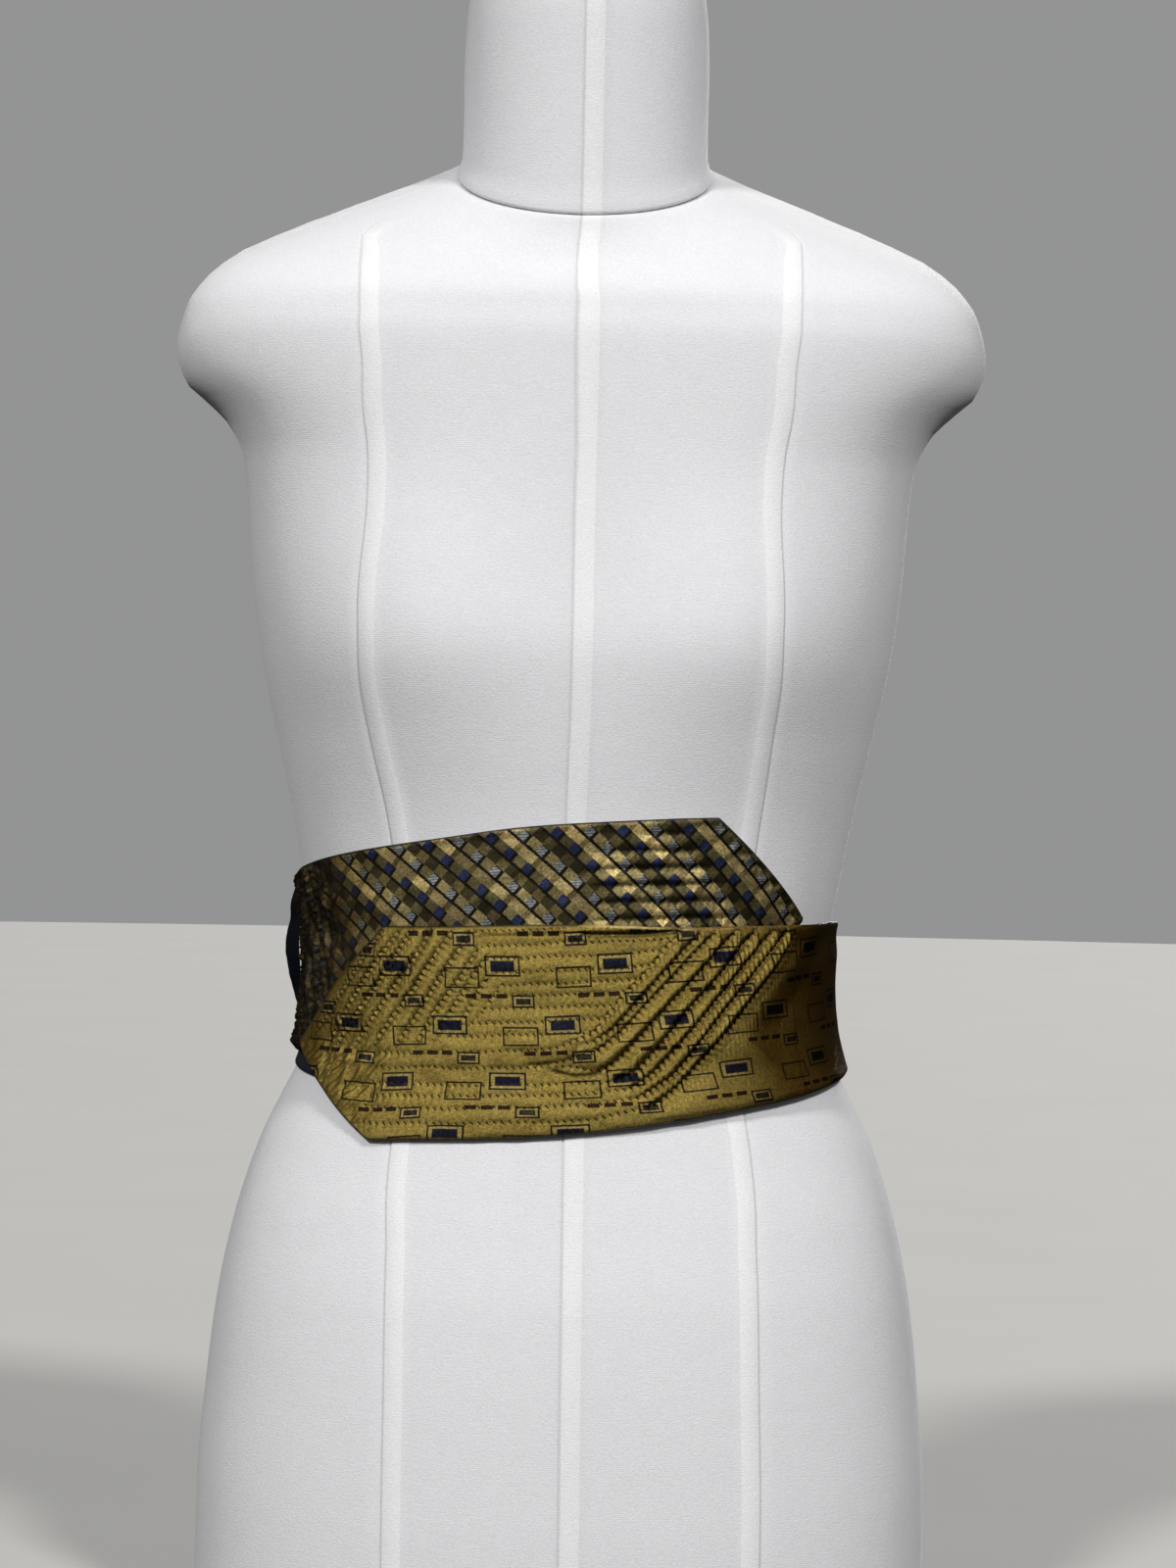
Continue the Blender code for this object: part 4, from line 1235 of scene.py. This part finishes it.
ROLL = 1.5  # how far in from an edge its roll reaches
ROLL_STEPS = np.array([0.0, 0.08, 0.25, 0.55, 0.95, 1.5, 2.1])  # rows this far in, where it rolls over
INSIDE = 3.0  # this far in, the face has its full relief
INNER_STEPS = np.array([0.0, 0.4, 1.5, 20, 40, 60, 80, 98.5, 99.6, 100]) / 100

GOLD_TIP = float(length_at(GOLD_POINT["apex"]))
GOLD_BACK = 354.0  # where it ends, behind the form
# Columns along it, from its tip: first a few by the edge, then (from, to, apart), then a few by the other.
GOLD_TIP_STEPS = (0.0, 0.15, 0.5, 1.0, 1.6)
GOLD_SPANS = (
    (GOLD_TIP + 2.2, -58.0, 0.52),
    (-57.6, 12.0, 0.95),
    (12.5, 117.0, 0.52),
    (117.8, 130.0, 1.2),
    (131.5, 351.0, 2.6),
)
GOLD_BACK_STEPS = (2.2, 1.1, 0.5, 0.2, 0.0)
GOLD_GRID = (101.0, 0.62)  # its width, and how far apart its rows of points are

PATTERNED_TIP = 115.4
PATTERNED_BACK = -325.8  # where it ends, under the gold blade
PATTERNED_BACK_STEPS = (0.0, 0.15, 0.5, 1.0, 1.8)
PATTERNED_SPANS = (
    (-322.0, -190.0, 3.0),
    (-189.0, -150.0, 1.6),
    (-149.0, -20.0, 1.15),
    (-19.5, 113.6, 0.75),
)
PATTERNED_TIP_STEPS = (1.2, 0.6, 0.25, 0.05, -0.05)
PATTERNED_GRID = (98.0, 0.8)
PATTERNED_ROWS = 8
PATTERNED_TOP_ROW = 41.6  # its height, and the lengths from which rows run
PATTERNED_QUILT_LEFT = 2.0
PATTERNED_QUILT_TOP_LEFT = 24.0
PATTERNED_QUILT_RIGHT = 60.0  # where the height of the top edge sets how far right the rows reach
PATTERNED_BORDER = 9.0  # how wide the plain border along its point is
BORDER_GAP = 6.0  # between that border and the rows
CRINKLE = 2.6  # how far the gathered left end stands out
CRINKLE_FROM = -108.0


def edge_rows(width, spacing):
    """Shares of a piece's height for its rows: close together where the edges roll over."""
    first = ROLL_STEPS[-1]
    count = max(2, round((width - 2 * first) / spacing))
    inner = np.linspace(first, width - first, count + 1)[1:-1]
    return np.concatenate([ROLL_STEPS, inner, width - ROLL_STEPS[::-1]]) / width


def columns_along(first, first_steps, spans, last, last_steps):
    """The places of a blade's columns, from its left end to its right."""
    between = [np.arange(*span) for span in spans]
    return np.concatenate([first + np.array(first_steps), *between, last - np.array(last_steps)])


def blade_places(edges, point, s, shares):
    """Turns, heights, heights above the middle line, edge distances, and the edges at each column."""
    turn = turn_at(s)
    top, bottom = cut_edges(edges, point, turn)
    middle = sum(long_edges(edges, turn)) / 2
    height = bottom[:, None] + (top - bottom)[:, None] * shares
    lean_top, lean_bottom = np.gradient(top, s), np.gradient(bottom, s)
    away = np.minimum(
        (top[:, None] - height) / np.sqrt(1 + lean_top**2)[:, None],
        (height - bottom[:, None]) / np.sqrt(1 + lean_bottom**2)[:, None],
    )
    away = np.minimum(away, np.minimum(s - s[0], s[-1] - s)[:, None])
    return turn[:, None], height, height - middle[:, None], away, top - middle, bottom - middle


def roll_over(away, thick):
    """(outer, inner) shares of the wall at this distance from the edge: they meet on its middle."""
    rolled = np.sqrt(np.clip(1 - (1 - np.clip(away / ROLL, 0, 1)) ** 2, 0, 1))
    return thick * (0.5 + 0.5 * rolled), thick * (0.5 - 0.5 * rolled)


def lining(edges, point, s, lift, thick):
    """The inner face of a blade. lift is the function that says how far out the blade lies."""
    turn, height, _, away, _, _ = blade_places(edges, point, s, INNER_STEPS)
    return over_form(turn, height, lift(turn, height) + roll_over(away, thick)[1])


def turned_edge(away):
    """How much painted shade darkens the cloth along its folded edge, where it rolls under."""
    return (1 - ease((away - 0.4) / 0.9)) * 0.9


def cloth_masks(here, v, edge, fields, inside, press):
    """What a silk's shader reads: (front, back) values of each attribute."""
    return {
        "cloth": (np.stack(np.broadcast_arrays(here, v, edge), -1), (0.0, 60.0, 1.0)),
        "row": (fields["row"], (-1.0, 0.0, 6.0)),
        "stitch": (fields["stitch"], (1.0, 0.0, 0.0)),
        "sewn": (fields["sewn"] * inside, 0.0),
        # painted shade in the creases and gathers
        "hollow_shade": (np.clip(press, 0, 1), 0.0),
    }


def gold_bumps(here, v):
    """Its own unevenness: crinkles low at its left end, and waves that fade where it lies plain."""
    crinkle = ease((-72 - here + v * 0.1) / 14) * ease((-4 - v) / 10)
    plain = ease((here - 60 - v) / 18)
    fine = wander(here * 0.8 - v * 0.6, (here * 0.6 + v * 0.8) * 0.3, 4.2, 21)
    waves = 0.35 * wander(here, v, 30, 22) + 0.16 * wander(here, v, 9, 23)
    return crinkle * (0.6 * fine - 0.2) + (1 - 0.85 * plain) * waves + 0.35


def gold_edge(here, v, away):
    """How far painted shade darkens its folded edge or, below 0, how far a painted highlight pales it, where
    its folded top catches the light.
    """
    pale = (1 - ease((away - 0.6) / 0.9)) * ease((here - 4) / 12) * ease((112 - here) / 6) * 0.8
    return np.where((v > 0) & (pale > 0), -pale, turned_edge(away))


def make_gold():
    s = columns_along(GOLD_TIP, GOLD_TIP_STEPS, GOLD_SPANS, GOLD_BACK, GOLD_BACK_STEPS)
    shares = edge_rows(*GOLD_GRID)
    turn, height, v, away, top, bottom = blade_places(GOLD_EDGES, GOLD_POINT, s, shares)
    relief, fields = gold_relief(s, v, top, bottom)
    press = crease_press(GOLD_CREASES, s, v)
    inside = ease(away / INSIDE)
    here = s[:, None]
    wavy_edge = 0.22 * wander(here, 0, 17, 25) * (1 - inside)
    wall = roll_over(away, GOLD_THICK)[0] + inside * (relief + gold_bumps(here, v) - press) + wavy_edge
    outer = over_form(turn, height, gold_lift(turn, height) + wall)
    inner = lining(GOLD_EDGES, GOLD_POINT, s, gold_lift, GOLD_THICK)
    masks = cloth_masks(here, v, gold_edge(here, v, away), fields, inside, press)
    return shell("gold_silk_blade", outer, inner, shares, INNER_STEPS, GOLD, masks)


def patterned_rows(s, top):
    """Level rows near the point, as far apart as the diamonds."""
    rows = Rows(s)
    corner = length_at(PATTERNED_POINT["top_corner"])
    corner_top = top[np.argmin(np.abs(s - PATTERNED_QUILT_RIGHT))]
    for i in range(PATTERNED_ROWS):
        level = PATTERNED_TOP_ROW - TILE_DROP * i
        left = PATTERNED_QUILT_LEFT if i else PATTERNED_QUILT_TOP_LEFT
        right = corner + (corner_top - level) * POINT_EDGE_SLANT - PATTERNED_BORDER - BORDER_GAP
        amount = 0.85 * ease((s - left) / 22) * ease((right - s) / 10)
        rows.add(level + 0.3 * wander(s, 40 * i, 22, 31), (s > left) & (s < right), amount)
    return rows


def patterned_bumps(here, v, away):
    """(how far its face stands out, how deep its hollows are, which sets their painted shade), with gathers
    at its left end.
    """
    border = ease((PATTERNED_BORDER - away) / 4) * ease((here - 60) / 15)
    bumps = 0.3 * wander(here, v, 26, 32) + 0.12 * wander(here, v, 8, 33)
    bumps += border * 0.45 * wander(here, v, 6, 34)
    gathered = ease((CRINKLE_FROM - here) / 26)
    folds = 0.5 + 0.5 * wander(here + 0.12 * v, v * 0.16, 5.2, 35) + 0.22 * wander(here, v, 3.4, 36)
    return bumps + gathered * CRINKLE * np.clip(folds, -0.1, 1.3), gathered * (1 - folds / 2)


def make_patterned():
    s = columns_along(
        PATTERNED_BACK, PATTERNED_BACK_STEPS, PATTERNED_SPANS, PATTERNED_TIP, PATTERNED_TIP_STEPS
    )
    shares = edge_rows(*PATTERNED_GRID)
    turn, height, v, away, top, bottom = blade_places(PATTERNED_EDGES, PATTERNED_POINT, s, shares)
    relief, fields = patterned_rows(s, top).press(v, top, bottom, 0.6)
    inside = ease(away / INSIDE)
    here = s[:, None]
    bumps, press = patterned_bumps(here, v, away)
    wall = roll_over(away, PATTERNED_THICK)[0] + inside * (relief + bumps)
    outer = over_form(turn, height, patterned_lift(turn, height) + wall)
    inner = lining(PATTERNED_EDGES, PATTERNED_POINT, s, patterned_lift, PATTERNED_THICK)
    masks = cloth_masks(here, v, turned_edge(away), fields, inside, press)
    return shell("patterned_silk_blade", outer, inner, shares, INNER_STEPS, PATTERNED, masks)


# ---- the navy pieces

STRIP_SHARES = np.array([0.0, 0.02, 0.08, 0.2, 0.35, 0.5, 0.65, 0.8, 0.92, 0.98, 1.0])
STRIP_INNER_SHARES = np.array([0.0, 0.08, 0.35, 0.65, 0.92, 1.0])
BAND_COLUMNS = 360
BAND_GRID = (52.0, 2.6)
BAND_RIPPLE = 0.12


def make_band():
    turn = (np.arange(BAND_COLUMNS) * 360.0 / BAND_COLUMNS - 180.0)[:, None]
    top, bottom = long_edges(NAVY_EDGES, turn)
    around = np.radians(turn)
    shares = edge_rows(*BAND_GRID)

    def face(shares, side, ripple):
        height = bottom + (top - bottom) * shares
        away = np.minimum(top - height, height - bottom)
        waves = np.sin(9 * around + height * 0.11) + np.sin(14 * around - height * 0.07 + 1.0)
        return over_form(
            turn, height, CLEAR + roll_over(away, NAVY_THICK)[side] + ripple * waves * ease(away / INSIDE)
        )

    outer, inner = face(shares, 0, BAND_RIPPLE), face(INNER_STEPS, 1, 0.0)
    return shell("navy_satin_band", outer, inner, shares, INNER_STEPS, SATIN, {}, closed=True)


def loop_bulge(height):
    share = (height - LOOP_BOTTOM) / (LOOP_TOP - LOOP_BOTTOM)
    return LOOP_BULGE * np.abs(np.sin(math.pi * share)) ** LOOP_FULLNESS


def loop_ground(height):
    """How far out the loop stands."""
    return patterned_lift(LOOP_TURN, height) + PATTERNED_THICK + CLEAR + loop_bulge(height)


def upright_strip(name, turn, heights, widths, lift, thick, curl):
    """A narrow upright strip of satin. Its columns run up it and its rows across it. curl is how far its
    front edge drops at each height."""
    per_degree = (length_at(turn + 5) - length_at(turn - 5)) / 10
    from_ends = np.minimum(heights - heights[0], heights[-1] - heights)[:, None]

    def face(shares, side):
        across = (shares - 0.5) * widths[:, None]
        away = np.minimum(widths[:, None] * np.minimum(shares, 1 - shares), from_ends)
        drop = np.clip((shares - 0.4) / 0.6, 0, 1) ** 2 * curl[:, None]
        wall = roll_over(away * 1.6, thick)[side]
        return over_form(turn + across / per_degree, heights[:, None], lift[:, None] - drop + wall)

    outer, inner = face(STRIP_SHARES, 0), face(STRIP_INNER_SHARES, 1)
    return shell(name, outer, inner, STRIP_SHARES, STRIP_INNER_SHARES, SHADED_LOOP_SATIN, {})


def make_loop():
    share = np.linspace(0, 1, 61)
    heights = LOOP_BOTTOM + (LOOP_TOP - LOOP_BOTTOM) * share
    past = np.clip((share - 0.85) / 0.15, 0, 1)
    widths = (LOOP_NARROW + (LOOP_WIDE - LOOP_NARROW) * ease(share * 2.2)) * np.sqrt(1 - 0.9 * past**2)
    ripple = 0.25 * np.sin(share * 31)
    curl = LOOP_CURL * (loop_bulge(heights) + ripple)
    lift = loop_ground(heights) + ripple
    return upright_strip("navy_satin_loop", LOOP_TURN, heights, widths, lift, LOOP_THICK, curl)


def make_tape():
    share = np.linspace(0, 1, 41)
    heights = TAPE_BOTTOM + (TAPE_TOP - TAPE_BOTTOM) * share
    widths = TAPE_WIDE * (1 - 0.25 * share)
    lift = loop_ground(heights) + LOOP_THICK + CLEAR
    flat = np.zeros(len(heights))
    return upright_strip("navy_satin_tape", TAPE_TURN, heights, widths, lift, TAPE_THICK, flat)


# ---- floor and light

FLOOR_DROP = 0.2  # below the board
FLOOR_RINGS = (20.0, 500.0, 1000.0, 2000.0, 4000.0, 9000.0)
FLOOR_DARK = (0.40, 0.40, 0.39)
FLOOR_PALE = (0.43, 0.43, 0.42)
LAMP_SOFTNESS = math.radians(9)
LAMP_COLOUR = (1.0, 0.985, 0.965)
# Each lamp: how strong, and how many degrees it stands to the right of the camera and above it.
LAMPS = ((2.0, -34.0, 39.0), (2.0, 32.0, 39.0), (1.5, 165.0, 22.0))
ROOM_COLOUR = (0.98, 0.985, 1.0, 1.0)
ROOM_LEVELS = ((0.0, 0.03), (0.18, 0.26), (0.5, 0.32), (0.8, 0.32))  # (how far up, how bright)
# Shares of that: the room is dark beside the form and a little behind it, which gives satin its dark sides.
ROOM_DEPTHS = ((-0.12, 1.0), (0.12, 0.08), (0.65, 0.08), (0.95, 0.8))  # (how far back, how bright)
ROOM_SEEN = 0.30  # and what the camera sees of it


def make_stage():
    around = np.linspace(0, 2 * math.pi, 97)[:-1]
    rings = np.array([[(r * math.cos(t), r * math.sin(t), -FLOOR_DROP) for t in around] for r in FLOOR_RINGS])
    numbers = np.arange(rings.shape[0] * rings.shape[1]).reshape(rings.shape[:2])
    faces = grid_faces(numbers.T, closed=True)
    faces.append(numbers[0].tolist())
    made = Shader("floor", Roughness=0.9)
    cloud = made.noise(made.join(*made.place()), 0.004)
    made.feed(Base_Color=made.mix(cloud + 0.5, FLOOR_DARK, FLOOR_PALE))
    floor = add_mesh("floor", rings.reshape(-1, 3), faces, made.material)
    floor.visible_diffuse = False
    floor.visible_glossy = False


def make_lamps():
    """Two high lamps, to the left and the right of the camera, and one behind the form."""
    for strength, side, height in LAMPS:
        lamp = bpy.data.lights.new("lamp", "SUN")
        lamp.energy = strength
        lamp.angle = LAMP_SOFTNESS
        lamp.color = LAMP_COLOUR
        made = bpy.data.objects.new(lamp.name, lamp)
        bpy.context.scene.collection.objects.link(made)
        made.rotation_euler = (math.pi / 2 - math.radians(height), 0.0, math.radians(side))


def room_level(made, facing, table):
    """A value that runs through a table's rows, each (how far a direction faces one way, value)."""
    level = made.node("ShaderNodeFloatCurve", {"Value": facing * 0.5 + 0.5})
    mapping = level.socket.node.mapping
    mapping.extend = "HORIZONTAL"
    curve = mapping.curves[0]
    for place, (direction, bright) in enumerate(table):
        at = (0.5 + direction / 2, bright)
        if place < 2:  # a new curve has two points already
            curve.points[place].location = at
        else:
            curve.points.new(*at)
    for point in curve.points:
        point.handle_type = "VECTOR"
    mapping.update()
    return level


def make_room():
    """A grey room all round, which lights the form and shows evenly behind it."""
    world = bpy.data.worlds.new("studio")
    world.use_nodes = True
    made = Nodes(world.node_tree)
    _, back, up = made.split(made.node("ShaderNodeTexCoord", output="Generated"))
    light = room_level(made, up, ROOM_LEVELS) * room_level(made, back, ROOM_DEPTHS)
    in_view = made.node("ShaderNodeLightPath", output="Is Camera Ray")
    strength = made.node("ShaderNodeMapRange", {"Value": in_view, "To Min": light, "To Max": ROOM_SEEN})
    background = world.node_tree.nodes["Background"]
    background.inputs["Color"].default_value = ROOM_COLOUR
    plug(made.tree, background.inputs["Strength"], strength)
    bpy.context.scene.world = world
    bpy.context.scene.view_settings.view_transform = "Standard"


# ---- making it

make_camera()
KNIT = knit_material()
GOLD = gold_material()
PATTERNED = patterned_material()
SATIN = navy_material("navy_satin", 1.0, 0.4)
# A darker copy of the same satin, as painted shade, for the loop and the tape.
SHADED_LOOP_SATIN = navy_material("loop_satin_shaded", 0.35, 0.6)

form = make_form()
neck_piece = make_neck()
gold = make_gold()
patterned = make_patterned()
band = make_band()
loop = make_loop()
tape = make_tape()

PIECES = (
    # piece, CAD node, slot
    (form, "form_torso", "form_cloth"),
    (neck_piece, "form_neck", "form_cloth"),
    (gold, "gold_blade", "gold_silk"),
    (patterned, "patterned_blade", "patterned_silk"),
    (band, "navy_band", "navy_satin"),
    (loop, "navy_loop", "navy_satin"),
    (tape, "navy_tape", "navy_satin"),
)
for piece, node, slot in PIECES:
    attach(piece, "root")
    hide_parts(node)


def flat_size(edges, point, first, last):
    """((width, length), area) of a blade's cut between two lengths round the waist, in metres."""
    s = np.linspace(first, last, 400)
    turn = turn_at(s)
    top, bottom = cut_edges(edges, point, turn) if point else long_edges(edges, turn)
    width, length = np.max(top - bottom) * MM, (last - first) * MM
    return (width, length), np.mean(top - bottom) * MM * length


GOLD_FLAT, GOLD_AREA = flat_size(GOLD_EDGES, GOLD_POINT, GOLD_TIP, GOLD_BACK)
PATTERNED_FLAT, PATTERNED_AREA = flat_size(PATTERNED_EDGES, PATTERNED_POINT, PATTERNED_BACK, PATTERNED_TIP)
BAND_FLAT, BAND_AREA = flat_size(NAVY_EDGES, None, length_at(-180.0), length_at(180.0))

board = board_material()
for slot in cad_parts["form_base"].material_slots:
    slot.material = board

make_stage()
make_lamps()
make_room()
